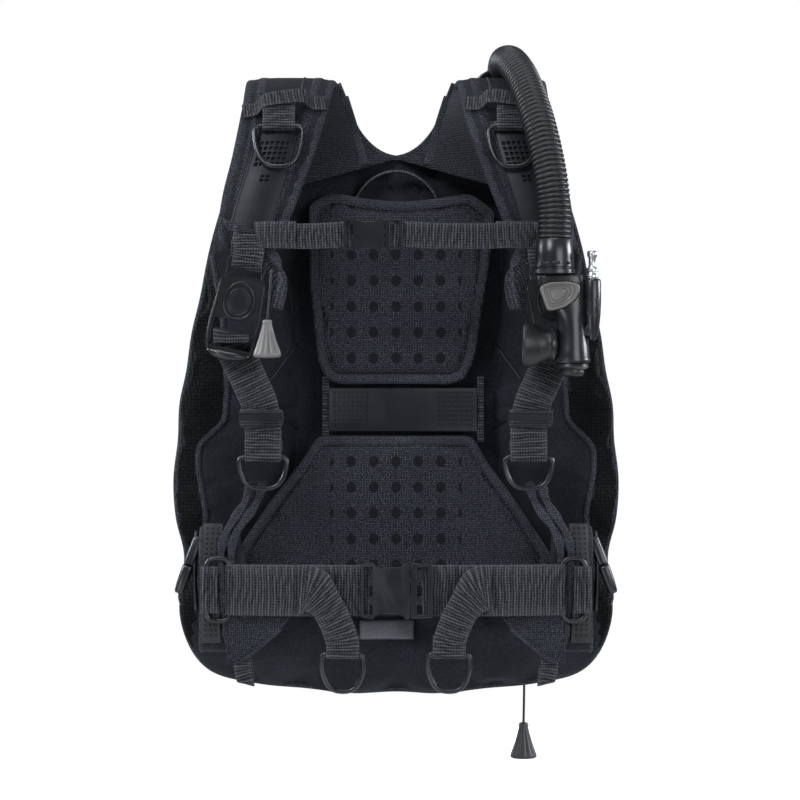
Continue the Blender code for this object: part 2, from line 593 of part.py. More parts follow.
def make_waist_belt():
    release_buckle("waist_buckle", (0.001, BELT_FRONT_Y, WAIST_Z), WAIST_BUCKLE, 0.056, 0.014)
    for side, word in ((1, "left"), (-1, "right")):
        bar = Vector((side * SIDE_BAR_X, belt_y(SIDE_BAR_X, BELT_FRONT_Y) - LOOP_RADIUS, WAIST_Z))
        ring = Vector((side * WAIST_RING["x"], BELT_FRONT_Y - 0.0120, WAIST_RING["bar"]))
        front = BELT_FRONT_Y - 0.0105
        tail = [ring + Vector((0, LOOP_RADIUS, 0.014))] + bar_loop(ring, LOOP_RADIUS)
        tail += [ring + Vector((0, -LOOP_RADIUS + 0.002, 0.020))]
        corner = [Vector((side * WAIST_RING["x"], front, WAIST_Z))]
        outer = [Vector((side * x, belt_y(x, front) + 0.0025 * (x - 0.05) / 0.1, WAIST_Z))
                 for x in (0.085, 0.110, 0.135)]
        loop = [bar + Vector((side * LOOP_RADIUS * math.sin(turn), -LOOP_RADIUS * math.cos(turn), 0))
                for turn in [math.pi * step / 6 for step in range(7)]]
        inner = [Vector((side * x, belt_y(x, BELT_FRONT_Y), WAIST_Z)) for x in (0.135, 0.100, 0.065, 0.031)]
        path = tail + corner + outer + loop + inner
        across = [(1, 0, 0)] * len(tail) + [(1, 0, -side)] + [(0, 0, -side)] * (len(path) - len(tail) - 1)
        widths = [0.032] * len(tail) + [0.044] + [WAIST_WIDTH] * (len(path) - len(tail) - 1)
        ribbon("waist_webbing_" + word, path, across, widths, WEBBING, "webbing")
        d_ring("waist_ring_" + word, ring, WAIST_RING["width"], WAIST_RING["drop"], (0, 0, -1))
        make_side_ring(side, word, bar.y)


def make_side_ring(side, word, y):
    """The oval ring that joins the belt to the hip, its inner bar inside the belt's loop."""
    half_wide = 0.0125
    half_tall = 0.0300
    corner = 0.0060
    centre_x = SIDE_BAR_X + half_wide
    path = []
    for quarter, (sx, sz) in enumerate(((1, 1), (-1, 1), (-1, -1), (1, -1))):
        for step in range(4):
            turn = math.pi / 2 * (quarter + step / 3)
            path.append((side * (centre_x + sx * (half_wide - corner) + corner * math.cos(turn)), y,
                         WAIST_Z + sz * (half_tall + corner * 0.2 - corner) + corner * math.sin(turn)))
    wire("waist_side_ring_" + word, path, RING_WIRE, "buckle_plastic", closed=True, sides=6, plane=(0, 1, 0))


# ---- weight pockets -------------------------------------------------------------------------------------
def make_weight_pocket(side, word):
    """A hip pocket open at its outer side, and the weight pouch that pulls out of it sideways."""
    inner, outer = POCKET_X
    low, high = POCKET_Z
    near, far = POCKET_Y
    wall = 0.0025

    def flipped(name, a, b, slot, bevel=0.0):
        xs = sorted((side * a[0], side * b[0]))
        return block(name, (xs[0], a[1], a[2]), (xs[1], b[1], b[2]), slot, bevel=bevel)

    pocket = flipped("weight_pocket_" + word, (inner, near, low), (outer, far, high), "shell_fabric", 0.004)
    cut(pocket, flipped("room", (inner + wall, near + wall, low + wall), (outer + 0.02, far - wall, high - wall),
                        "webbing"))
    slack = wall + GAP
    pouch = flipped("weight_pouch_" + word, (inner + slack + 0.001, near + slack, low + slack),
                    (outer + 0.004, far - slack, high - slack), "shell_fabric")
    flap = flipped("flap", (outer + 0.001, near + 0.001, high - 0.072), (outer + 0.012, far - 0.001, high - 0.004),
                   "buckle_plastic", 0.002)
    join(pouch, flap)
    put_origin(pouch, (side * outer, (near + far) / 2, (low + high) / 2))


# ---- valves and pulls -----------------------------------------------------------------------------------
def make_dump_valve(name, port):
    """A dump valve in its port: a body with a hollow neck, and the spring-loaded poppet inside it."""
    place = port_place(*PORTS[port])
    body = [(0.0130, -0.0100), (0.0130, 0.0010), (0.0230, 0.0012), (0.0250, 0.0040), (0.0240, 0.0080),
            (0.0190, 0.0110), (0.0100, 0.0120), (0.0100, -0.0100)]
    turned(name + "_valve", body, "buckle_plastic", place)
    poppet = [(0, -0.0080), (0.0092, -0.0080), (0.0092, -0.0050), (0.0030, -0.0040), (0.0030, 0.0080),
              (0.0075, 0.0090), (0.0075, 0.0108), (0, 0.0112)]
    piece = turned(name + "_poppet", poppet, "grey_plastic", place, sides=16)
    put_origin(piece, place.translation)


def make_pull(name, path, knob_top, slot):
    """A dump cord with its bell-shaped knob moulded on the end."""
    bell = [(0, 0.0), (0.0040, -0.0010), (0.0050, -0.0080), (0.0090, -0.0200), (0.0135, -0.0310),
            (0.0138, -0.0350), (0.0110, -0.0365), (0, -0.0370)]
    piece = turned(name, bell, slot, Matrix.Translation(knob_top), sides=16)
    join(piece, wire("cord", path + [Vector(knob_top) + Vector((0, 0, -0.004))], CORD_RADIUS, slot,
                     sides=6, plane=(0, 1, 0)))
    put_origin(piece, knob_top)


# ---- hose and inflator ----------------------------------------------------------------------------------
def make_elbow():
    """The elbow on the left shoulder's port: a flange, a neck into the cell and a spout for the hose."""
    place = port_place(*PORTS["elbow"])
    shape = [(0, -0.0100), (0.0130, -0.0100), (0.0130, 0.0010), (0.0260, 0.0012), (0.0280, 0.0050),
             (0.0250, 0.0110), (0.0120, 0.0150), (0, 0.0150)]
    elbow = turned("shoulder_elbow", shape, "buckle_plastic", place)
    mouth = Vector(HOSE_LINE[0])
    along = (Vector(HOSE_LINE[1]) - mouth).normalized()
    spout = [place @ Vector((0, 0, 0.006)), mouth - along * 0.012, mouth - along * 0.001]
    join(elbow, wire("spout", spout, HOSE_BORE, "buckle_plastic", sides=16, plane=(1, 0, 0)))


def smooth_line(points, count):
    """Evenly spread points of a Catmull-Rom curve through a few given ones."""
    points = [Vector(point) for point in points]
    padded = [2 * points[0] - points[1]] + points + [2 * points[-1] - points[-2]]
    dense = []
    for p0, p1, p2, p3 in zip(padded, padded[1:], padded[2:], padded[3:]):
        for step in range(20):
            t = step / 20
            dense.append(0.5 * (2 * p1 + (p2 - p0) * t + (2 * p0 - 5 * p1 + 4 * p2 - p3) * t * t
                                + (3 * p1 - p0 - 3 * p2 + p3) * t ** 3))
    dense.append(points[-1])
    lengths = [0.0]
    for a, b in zip(dense, dense[1:]):
        lengths.append(lengths[-1] + (b - a).length)
    spread = []
    index = 0
    for step in range(count):
        goal = lengths[-1] * step / (count - 1)
        while index < len(dense) - 2 and lengths[index + 1] < goal:
            index += 1
        share = (goal - lengths[index]) / (lengths[index + 1] - lengths[index])
        spread.append(dense[index].lerp(dense[index + 1], share))
    return spread


def make_hose():
    """The corrugated hose, one ring for each crest and each root of its folds."""
    spots = smooth_line(HOSE_LINE, HOSE_RINGS)
    radii = [HOSE_RADIUS if index % 2 else HOSE_RADIUS * 0.86 for index in range(HOSE_RINGS)]
    hose = wire("inflator_hose", spots, radii, "rubber", sides=10, plane=(1, 0, 0))
    shade_round(hose, 60)


def upright(x, y, z):
    return Matrix.Translation((x, y, z))


def make_inflator():
    pivot_x, pivot_y, _ = INFLATOR_PIVOT
    top = HOSE_LINE[-1][2]
    cuff = [(0, top - 0.0120), (0.0155, top - 0.0120), (0.0155, top + 0.0060), (0.0178, top + 0.0060),
            (0.0200, top - 0.0290), (0, top - 0.0290)]
    turned("hose_cuff", cuff, "buckle_plastic", upright(pivot_x, pivot_y, 0), sides=20)
    head_top = top - 0.0296
    head = block("inflator_body", (0.1370, pivot_y - 0.0140, 0.0920), (0.1845, pivot_y + 0.0125, head_top),
                 "buckle_plastic", bevel=0.004)
    stem = [(0, head_top - 0.004), (0.0150, head_top - 0.006), (0.0165, 0.0880), (0.0180, 0.0600),
            (0.0170, 0.0450), (0, 0.0450)]
    barrel = [(0, 0.1280), (0.0080, 0.1280), (0.0085, 0.1000), (0.0070, 0.0700), (0, 0.0660)]
    join(head, turned("stem", stem, "buckle_plastic", upright(INFLATOR_AXIS_X, pivot_y, 0), sides=20),
         turned("barrel", barrel, "buckle_plastic", upright(BARREL_X, pivot_y - 0.002, 0), sides=14))
    face = pivot_y - 0.0140
    button = [(0.1405, 0.1050), (0.1390, 0.1140), (0.1420, 0.1215), (0.1500, 0.1250), (0.1700, 0.1250),
              (0.1790, 0.1215), (0.1800, 0.1150), (0.1750, 0.1060), (0.1640, 0.0980), (0.1530, 0.0970),
              (0.1450, 0.0995)]
    middle = Vector((0.160, 0.112))
    grown = [middle + (Vector(point) - middle) * 1.035 for point in button]
    cut(head, prism("recess", [tuple(point) for point in grown], face - 0.01, face + 0.0065, "webbing"),
        turned("bore", [(0, 0.030), (0.0128, 0.030), (0.0128, 0.0560), (0, 0.0560)], "webbing",
               upright(INFLATOR_AXIS_X, pivot_y, 0)))
    piece = prism("inflate_button", button, face - 0.0035, face + 0.0025, "grey_plastic")
    put_origin(piece, (middle.x, face, middle.y))
    deflate = [(0, 0.0330), (0.0105, 0.0330), (0.0122, 0.0350), (0.0122, 0.0510), (0, 0.0510)]
    piece = turned("deflate_button", deflate, "rubber", upright(INFLATOR_AXIS_X, pivot_y, 0), sides=20)
    put_origin(piece, (INFLATOR_AXIS_X, pivot_y, 0.045))
    mouth = [(0.0100, 0.0), (0.0150, 0.0), (0.0165, 0.0100), (0.0230, 0.0260), (0.0235, 0.0300), (0.0190, 0.0300),
             (0.0130, 0.0120)]
    turned("mouthpiece", mouth, "rubber",
           upright(0.1530, pivot_y, 0.0640) @ Matrix.Rotation(math.radians(-90), 4, "Y"), sides=20)
    nipple = [(0, 0.1285), (0.0055, 0.1285), (0.0055, 0.1380), (0.0038, 0.1400), (0.0038, 0.1500), (0.0046, 0.1520),
              (0.0046, 0.1560), (0, 0.1560)]
    turned("inflator_nipple", nipple, "chrome", upright(BARREL_X, pivot_y - 0.002, 0), sides=14)


# ---- the whole vest -------------------------------------------------------------------------------------
def main():
    clear_scene()
    make_air_cell()
    make_backplate()
    make_carry_handle()
    make_tank_band()
    make_pads()
    for side, word in ((1, "left"), (-1, "right")):
        make_shoulder(side, word)
        make_shoulder_buckle(side, word)
        make_lower_strap(side, word)
        make_weight_pocket(side, word)
    make_sternum_strap()
    make_waist_belt()
    make_elbow()
    make_hose()
    make_inflator()
    make_dump_valve("right_dump", "right_dump")
    make_dump_valve("rear_dump", "rear_dump")
    make_pull("shoulder_dump_pull", [Vector((-0.122, -0.1560, 0.138)), Vector((-0.124, -0.1570, 0.110))],
              (-0.126, -0.1580, 0.088), "grey_plastic")
    make_pull("rear_dump_pull", [Vector((0.1320, 0.0520, -0.262)), Vector((0.1315, 0.0500, -0.300))],
              (0.1310, 0.0480, -0.322), "grey_plastic")


main()
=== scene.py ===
"""The looks of the buoyancy vest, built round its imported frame. Metres, +Z up, the wearer on the -Y side."""

import json
import math

import bmesh
import bpy
from mathutils import Matrix, Vector, noise
from mathutils.bvhtree import BVHTree


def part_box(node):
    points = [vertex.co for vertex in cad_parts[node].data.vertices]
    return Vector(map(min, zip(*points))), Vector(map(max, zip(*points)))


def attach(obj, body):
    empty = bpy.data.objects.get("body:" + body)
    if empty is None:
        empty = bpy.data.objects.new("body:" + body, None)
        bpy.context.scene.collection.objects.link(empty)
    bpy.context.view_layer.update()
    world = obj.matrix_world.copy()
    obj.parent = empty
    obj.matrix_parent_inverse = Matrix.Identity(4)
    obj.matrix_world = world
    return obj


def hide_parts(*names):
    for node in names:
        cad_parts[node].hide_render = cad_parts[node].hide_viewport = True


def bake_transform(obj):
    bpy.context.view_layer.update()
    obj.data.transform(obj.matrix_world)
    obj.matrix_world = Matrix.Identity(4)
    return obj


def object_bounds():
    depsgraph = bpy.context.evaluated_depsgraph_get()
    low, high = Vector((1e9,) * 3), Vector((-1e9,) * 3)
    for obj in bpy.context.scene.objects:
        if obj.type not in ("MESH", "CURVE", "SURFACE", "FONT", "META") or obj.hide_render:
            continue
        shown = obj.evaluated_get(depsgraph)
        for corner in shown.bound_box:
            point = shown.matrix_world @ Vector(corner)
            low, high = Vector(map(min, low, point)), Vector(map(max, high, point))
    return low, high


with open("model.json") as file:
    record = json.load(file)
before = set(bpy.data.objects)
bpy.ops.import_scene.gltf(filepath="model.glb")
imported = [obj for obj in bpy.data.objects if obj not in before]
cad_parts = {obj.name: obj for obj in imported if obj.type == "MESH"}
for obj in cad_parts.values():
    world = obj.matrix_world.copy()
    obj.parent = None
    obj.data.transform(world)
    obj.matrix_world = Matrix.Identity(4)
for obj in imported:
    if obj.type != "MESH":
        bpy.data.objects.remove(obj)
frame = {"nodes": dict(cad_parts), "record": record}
CAD_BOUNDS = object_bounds()
NODES = frame["nodes"]
SIDES = ((1, "left"), (-1, "right"))

WRAP = 2.0              # the torso curve of the frame: y falls by WRAP * x squared
STRAP_THICK = 0.0018
BINDING = 0.0026        # radius of the sewn tape round an edge
SIM_FRAMES = 20


# ---- materials -----------------------------------------------------------------------------------
class Shader:
    """A node tree in few words: every method adds one node and returns its output."""

    def __init__(self, name):
        self.material = bpy.data.materials.new(name)
        self.material.use_nodes = True
        self.tree = self.material.node_tree
        self.surface = self.tree.nodes["Principled BSDF"]

    def add(self, kind, inputs=(), out=0, **settings):
        node = self.tree.nodes.new(kind)
        for key, value in settings.items():
            setattr(node, key, value)
        for key, value in dict(inputs).items():
            if isinstance(value, bpy.types.NodeSocket):
                self.tree.links.new(value, node.inputs[key])
            else:
                node.inputs[key].default_value = value
        return node.outputs[out]

    def math(self, operation, a, b=0.0, clamp=False):
        return self.add("ShaderNodeMath", {0: a, 1: b}, operation=operation, use_clamp=clamp)

    def plus(self, a, b, clamp=False):
        return self.math("ADD", a, b, clamp)

    def minus(self, a, b, clamp=False):
        return self.math("SUBTRACT", a, b, clamp)

    def times(self, a, b, clamp=False):
        return self.math("MULTIPLY", a, b, clamp)

    def place(self, uv=False):
        return self.add("ShaderNodeTexCoord", out=2 if uv else 3)

    def parts(self, vector):
        node = self.tree.nodes.new("ShaderNodeSeparateXYZ")
        self.tree.links.new(vector, node.inputs[0])
        return node.outputs[0], node.outputs[1], node.outputs[2]

    def noise(self, vector, scale, detail=4.0, rough=0.55):
        return self.add("ShaderNodeTexNoise", {"Vector": vector, "Scale": scale, "Detail": detail,
                                               "Roughness": rough})

    def ripple(self, value, pitch, phase=0.0):
        """A wave from 0 to 1 that repeats every pitch metres."""
        turn = self.plus(self.times(value, 2 * math.pi / pitch), phase)
        return self.plus(self.times(self.math("SINE", turn), 0.5), 0.5)

    def mix(self, share, dark, light):
        """Share runs from the dark colour to the light one. Both are given as (r, g, b)."""
        node = self.tree.nodes.new("ShaderNodeMix")
        node.data_type = "RGBA"
        factor, dark_socket, light_socket = node.inputs[0], node.inputs[6], node.inputs[7]
        self.tree.links.new(share, factor)
        dark_socket.default_value = (*dark, 1.0)
        light_socket.default_value = (*light, 1.0)
        return node.outputs[2]

    def bump(self, height, strength, distance=0.001, normal=None):
        inputs = {"Height": height, "Strength": strength, "Distance": distance}
        if normal is not None:
            inputs["Normal"] = normal
        return self.add("ShaderNodeBump", inputs)

    def finish(self, colour, rough, normal=None, sheen=0.0, metallic=0.0, specular=0.5):
        values = {"Base Color": colour, "Roughness": rough, "Metallic": metallic,
                  "Specular IOR Level": specular, "Sheen Weight": sheen, "Sheen Roughness": 0.45}
        if normal is not None:
            values["Normal"] = normal
        for key, value in values.items():
            if isinstance(value, bpy.types.NodeSocket):
                self.tree.links.new(value, self.surface.inputs[key])
            else:
                self.surface.inputs[key].default_value = value
        return self.material


def weave_cloth(name, dark, light, pitch=0.0011, rough=0.72, sheen=0.25, depth=0.55, speckle=0.5):
    """Plain woven nylon: threads over and under in X and Z, with speckled yarn and soft creases."""
    s = Shader(name)
    where = s.place()
    x, y, z = s.parts(where)
    slide = s.minus(s.times(y, 0.8), s.math("ABSOLUTE", x))
    warp = s.ripple(slide, pitch)
    weft = s.ripple(z, pitch)
    cross = s.ripple(s.plus(slide, z), pitch * 2)
    thread = s.math("MAXIMUM", s.times(warp, cross), s.times(weft, s.minus(1.0, cross)))
    grain = s.noise(where, 900.0, 2.0)
    cloud = s.noise(where, 14.0, 3.0)
    share = s.plus(s.times(thread, 0.55),
                   s.times(s.minus(grain, 0.46), speckle * 4.0), clamp=True)
    share = s.times(share, s.times(cloud, 1.7), clamp=True)
    colour = s.mix(share, dark, light)
    height = s.plus(thread, s.times(grain, 0.5))
    crease = s.bump(s.noise(where, 42.0, 3.0), 0.55, 0.003)
    normal = s.bump(height, depth, 0.0006, crease)
    roughness = s.plus(s.times(grain, 0.2), rough - 0.1)
    return s.finish(colour, roughness, normal, sheen=sheen, specular=0.12)


def spacer_mesh(name, dark, light, pitch=0.0034, dots=False):
    """Open knitted mesh over foam: rows of small holes, with larger dark foam cut-outs if dots is set."""
    s = Shader(name)
    where = s.place()
    x, y, z = s.parts(where)
    slide = s.minus(s.times(y, 0.7), s.math("ABSOLUTE", x))
    flat = s.add("ShaderNodeCombineXYZ", {0: slide, 1: z, 2: 0.0})
    cells = s.add("ShaderNodeTexVoronoi", {"Vector": flat, "Scale": 1.0 / pitch, "Randomness": 0.25},
                  voronoi_dimensions="2D")
    thread = s.times(s.minus(cells, 0.28), 3.6, clamp=True)
    grain = s.times(s.minus(s.noise(where, 900.0, 2.0), 0.30), 2.6, clamp=True)
    share = s.times(thread, grain, clamp=True)
    share = s.times(share, s.plus(0.45, s.times(s.noise(where, 9.0), 1.1)), clamp=True)
    height = thread
    if dots:
        column = s.math("COSINE", s.times(x, 2 * math.pi / 0.0225))
        row = s.math("COSINE", s.times(z, 2 * math.pi / 0.0260))
        spot = s.times(s.minus(s.plus(column, row), 1.12), 5.0, clamp=True)
        middle = s.math("LESS_THAN", s.math("ABSOLUTE", x), 0.066)
        spot = s.times(spot, middle)
        share = s.times(share, s.minus(1.0, s.times(spot, 0.85)))
        height = s.minus(thread, s.times(spot, 1.5))
    colour = s.mix(share, dark, light)
    return s.finish(colour, 0.7, s.bump(height, 0.8, 0.0008), sheen=0.03, specular=0.12)


def webbing_cloth(name, dark, light):
    """Ribbed nylon webbing. Its ribs are bumped, and painted highlights make their crests and broad wavy bands
    along the strap lighter in colour. UVs run in metres: U along the strap and V across it.
    """
    s = Shader(name)
    u, v, _ = s.parts(s.place(uv=True))
    wander = s.times(s.noise(s.place(), 26.0, 2.0), 0.005)
    rib = s.ripple(s.plus(u, wander), 0.0030)
    lane = s.ripple(v, 0.0026)
    twill = s.ripple(s.plus(u, s.times(v, 1.3)), 0.0022)
    knit = s.ripple(s.minus(u, s.times(v, 1.3)), 0.0022)
    # broad wavy bands of painted highlight along the strap, the moiré of the ribs
    band = s.ripple(s.plus(u, s.times(s.noise(s.place(), 22.0, 1.0), 0.030)), 0.0076)
    cross = s.times(s.math("MAXIMUM", twill, knit), s.plus(0.4, s.times(lane, 0.6)))
    grain = s.noise(s.place(), 900.0, 2.0)
    edge = s.add("ShaderNodeAttribute", out=2, attribute_name="edge")
    # painted highlight: the rib crests are made lighter, and the wavy bands of painted light brighten the
    # colour further
    share = s.times(cross, s.plus(0.12, s.times(s.math("POWER", rib, 1.6), 0.9)))
    share = s.times(share, s.plus(0.55, s.times(band, 0.8)))
    share = s.plus(share, s.times(s.minus(grain, 0.47), 1.0), clamp=True)
    share = s.plus(share, s.times(edge, 0.30), clamp=True)
    soft = s.bump(rib, 0.5, 0.0009)
    return s.finish(s.mix(share, dark, light), 0.60, s.bump(cross, 0.7, 0.0006, soft), sheen=0.01,
                    specular=0.09)


def moulded(name, dark, light, rough=0.36, grain=0.12, wear=0.35, specular=0.5):
    """Moulded plastic or rubber: fine spark-eroded grain, and paler rubbed edges."""
    s = Shader(name)
    where = s.place()
    fine = s.noise(where, 1500.0, 2.0)
    cloud = s.noise(where, 35.0, 5.0)
    edge = s.add("ShaderNodeNewGeometry", out=7)
    rubbed = s.times(s.minus(edge, 0.53), 9.0, clamp=True)
    share = s.plus(s.times(rubbed, wear), s.times(s.minus(cloud, 0.4), 0.5),
                   clamp=True)
    roughness = s.plus(rough - 0.08, s.times(cloud, 0.18))
    return s.finish(s.mix(share, dark, light), roughness, s.bump(fine, grain, 0.0004), specular=specular)


def polished_metal(name):
    s = Shader(name)
    cloud = s.noise(s.place(), 60.0)
    rough = s.plus(0.32, s.times(cloud, 0.10))
    return s.finish(s.mix(cloud, (0.42, 0.42, 0.44), (0.60, 0.60, 0.62)), rough, metallic=1.0)


SHELL = weave_cloth("shell_fabric", (0.0045, 0.0050, 0.0072), (0.040, 0.044, 0.057), rough=0.58, sheen=0.03)
STRAP_CLOTH = weave_cloth("strap_fabric", (0.0032, 0.0036, 0.0052), (0.044, 0.048, 0.060), pitch=0.0016,
                          sheen=0.02)
TAPE = weave_cloth("binding_tape", (0.005, 0.006, 0.008), (0.100, 0.107, 0.128), pitch=0.0024, sheen=0.02,
                   depth=1.0)
PAD_MESH = spacer_mesh("pad_mesh", (0.004, 0.005, 0.007), (0.110, 0.118, 0.142), pitch=0.0017, dots=True)
SIDE_MESH = spacer_mesh("side_mesh", (0.0005, 0.0006, 0.0010), (0.013, 0.014, 0.017), pitch=0.0034)
YOKE = spacer_mesh("yoke_mesh", (0.003, 0.0035, 0.005), (0.070, 0.076, 0.092), pitch=0.0026)
FINE_MESH = spacer_mesh("strap_mesh", (0.004, 0.005, 0.007), (0.100, 0.107, 0.128), pitch=0.0017)
WEBBING = webbing_cloth("webbing", (0.003, 0.0034, 0.0046), (0.118, 0.122, 0.134))
BUCKLE = moulded("buckle_plastic", (0.0045, 0.0050, 0.0068), (0.034, 0.036, 0.043), rough=0.28)
SMOOTH_PLATE = moulded("smooth_plate", (0.006, 0.007, 0.010), (0.026, 0.028, 0.034), rough=0.42,
                       specular=0.22)
RUBBER = moulded("rubber", (0.0045, 0.0050, 0.0065), (0.026, 0.028, 0.034), rough=0.44, wear=0.25)
GREY = moulded("grey_plastic", (0.120, 0.113, 0.106), (0.300, 0.285, 0.270), rough=0.40, wear=0.6)
DARK_GREY = moulded("knob_plastic", (0.030, 0.030, 0.032), (0.085, 0.084, 0.086), rough=0.46, wear=0.5)
CHROME = polished_metal("chrome")
FILM = moulded("bladder_film", (0.004, 0.005, 0.007), (0.020, 0.023, 0.030), rough=0.25)
LABEL = weave_cloth("label_cloth", (0.130, 0.130, 0.145), (0.270, 0.270, 0.300), pitch=0.0008, sheen=0.05)
THREAD = moulded("thread", (0.012, 0.014, 0.018), (0.060, 0.064, 0.080), rough=0.6)

# the record's material slot that each material belongs to
SLOTS = {SHELL.name: "shell_fabric", STRAP_CLOTH.name: "strap_fabric", TAPE.name: "strap_fabric",
         LABEL.name: "strap_fabric", THREAD.name: "strap_fabric", PAD_MESH.name: "pad_mesh",
         YOKE.name: "pad_mesh", FINE_MESH.name: "pad_mesh", WEBBING.name: "webbing",
         BUCKLE.name: "buckle_plastic",
         SMOOTH_PLATE.name: "plate_plastic", RUBBER.name: "rubber", GREY.name: "grey_plastic",
         DARK_GREY.name: "grey_plastic", CHROME.name: "chrome", FILM.name: "bladder_film"}


# ---- mesh tools ----------------------------------------------------------------------------------
def new_piece(name, mesh, material):
    mesh.materials.append(material)
    piece = bpy.data.objects.new(name, mesh)
    bpy.context.scene.collection.objects.link(piece)
    return piece


def solid(name, points, faces, material, smooth=True):
    mesh = bpy.data.meshes.new(name)
    mesh.from_pydata([tuple(point) for point in points], [], faces)
    work = bmesh.new()
    work.from_mesh(mesh)
    bmesh.ops.recalc_face_normals(work, faces=work.faces)
    work.to_mesh(mesh)
    work.free()
    if smooth:
        mesh.shade_smooth()
    return new_piece(name, mesh, material)


def bevel(piece, width, segments=2, angle=40):
    modifier = piece.modifiers.new("Bevel", "BEVEL")
    modifier.width = width
    modifier.segments = segments
    modifier.limit_method = "ANGLE"
    modifier.angle_limit = math.radians(angle)
    modifier.use_clamp_overlap = True
    modifier.harden_normals = True
    return piece


def settle(piece):
    """Apply a piece's modifiers to its mesh."""
    bpy.context.view_layer.update()
    mesh = bpy.data.meshes.new_from_object(piece.evaluated_get(bpy.context.evaluated_depsgraph_get()))
    piece.modifiers.clear()
    piece.data = mesh
    return piece


def subdivide(piece):
    """Smooth a piece's mesh with one level of subdivision."""
    modifier = piece.modifiers.new("Subdivision", "SUBSURF")
    modifier.levels = 1
    settle(piece)
    piece.data.shade_smooth()
    return piece


def cut(piece, *tools):
    for tool in tools:
        modifier = piece.modifiers.new("Cut", "BOOLEAN")
        modifier.operation = "DIFFERENCE"
        modifier.object = tool
        settle(piece)
        bpy.data.objects.remove(tool, do_unlink=True)
    return piece


def curve_through(points, step=0.0035):
    """Points close together on a Catmull-Rom curve through a few given ones."""
    points = [Vector(point) for point in points]
    padded = [2 * points[0] - points[1]] + points + [2 * points[-1] - points[-2]]
    line = []
    for p0, p1, p2, p3 in zip(padded, padded[1:], padded[2:], padded[3:]):
        count = max(1, round((p2 - p1).length / step))
        for index in range(count):
            t = index / count
            line.append(0.5 * (2 * p1 + (p2 - p0) * t + (2 * p0 - 5 * p1 + 4 * p2 - p3) * t * t
                               + (3 * p1 - p0 - 3 * p2 + p3) * t ** 3))
    line.append(points[-1])
    return line


def along(values, count):
    """Spread a few values evenly over count places."""
    if not isinstance(values, (list, tuple)):
        return [values] * count
    spread = []
    for index in range(count):
        place = index / max(1, count - 1) * (len(values) - 1)
        low = min(int(place), len(values) - 2)
        spread.append(values[low] + (values[low + 1] - values[low]) * (place - low))
    return spread


def strap(name, points, across, width, thick=STRAP_THICK, step=0.0035, wave=0.0):
    """Webbing swept through points: rounded selvedges, UVs in metres, an edge attribute and a little sag."""
    line = curve_through(points, step)
    count = len(line)
    sides = across if isinstance(across, list) else [across, across]
    sides = along([Vector(side) for side in sides], count)
    widths = along(width, count)
    section = [(-1.0, 0.0), (-0.985, 0.75), (-0.94, 1.0), (-0.5, 1.0), (0.0, 1.0), (0.5, 1.0), (0.94, 1.0),
               (0.985, 0.75), (1.0, 0.0), (0.985, -0.75), (0.94, -1.0), (0.5, -1.0), (0.0, -1.0),
               (-0.5, -1.0), (-0.94, -1.0), (-0.985, -0.75)]
    ring = len(section)
    rows = []
    travelled = 0.0
    distances = []
    for index, centre in enumerate(line):
        if index:
            travelled += (centre - line[index - 1]).length
        distances.append(travelled)
        tangent = (line[min(index + 1, count - 1)] - line[max(index - 1, 0)]).normalized()
        side = (sides[index] - tangent * sides[index].dot(tangent)).normalized()
        normal = side.cross(tangent).normalized()
        ripple = wave * noise.noise(Vector((travelled * 30, widths[index], 0.3)))
        for a, b in section:
            cup = wave * 0.6 * noise.noise(centre * 25 + Vector((0, 0, a)))
            rows.append(centre + side * (a * widths[index] / 2) + normal * (b * thick / 2 + ripple + cup))
    piece = solid(name, rows, loft_faces(count, ring), WEBBING)
    mesh = piece.data
    layer = mesh.uv_layers.new(name="UVMap")
    edge = mesh.attributes.new("edge", "FLOAT", "POINT")
    for index in range(len(mesh.vertices)):
        edge.data[index].value = max(0.0, (abs(section[index % ring][0]) - 0.9) * 10)
    for loop in mesh.loops:
        row, k = divmod(loop.vertex_index, ring)
        layer.data[loop.index].uv = (distances[row], section[k][0] * widths[row] / 2)
    mesh.set_sharp_from_angle(angle=math.radians(60))
    return piece


def tube(name, points, radius, material, closed=False, sides=10, step=0.003, smooth=True):
    """A round section along a curve, with frames carried along it so that it doesn't twist."""
    line = curve_through(points, step) if smooth else [Vector(point) for point in points]
    if closed:
        line = line[:-1] if (line[0] - line[-1]).length < 1e-6 else line
    count = len(line)
    radii = along(radius, count)
    first = None
    rows = []
    for index, centre in enumerate(line):
        if closed:
            tangent = (line[(index + 1) % count] - line[index - 1]).normalized()
        else:
            tangent = (line[min(index + 1, count - 1)] - line[max(index - 1, 0)]).normalized()
        if first is None:
            first = tangent.orthogonal().normalized()
        first = (first - tangent * first.dot(tangent)).normalized()
        second = tangent.cross(first)
        for k in range(sides):
            turn = 2 * math.pi * k / sides
            rows.append(centre + radii[index] * (math.cos(turn) * first + math.sin(turn) * second))
    spans = count if closed else count - 1
    shift = 0
    if closed:
        start = rows[0] - line[0]
        last = [rows[sides * (count - 1) + k] - line[-1] for k in range(sides)]
        shift = max(range(sides), key=lambda k: last[k].dot(start))
    faces = []
    for i in range(spans):
        turn = shift if i == count - 1 else 0
        j = (i + 1) % count
        for k in range(sides):
            a = (k + turn) % sides if i == count - 1 else k
            b = (k + 1 + turn) % sides if i == count - 1 else (k + 1) % sides
            faces.append([sides * i + a, sides * i + b, sides * j + (k + 1) % sides, sides * j + k])
    if not closed:
        faces += [list(range(sides)), list(range(sides * (count - 1), sides * count))]
    return solid(name, rows, faces, material)


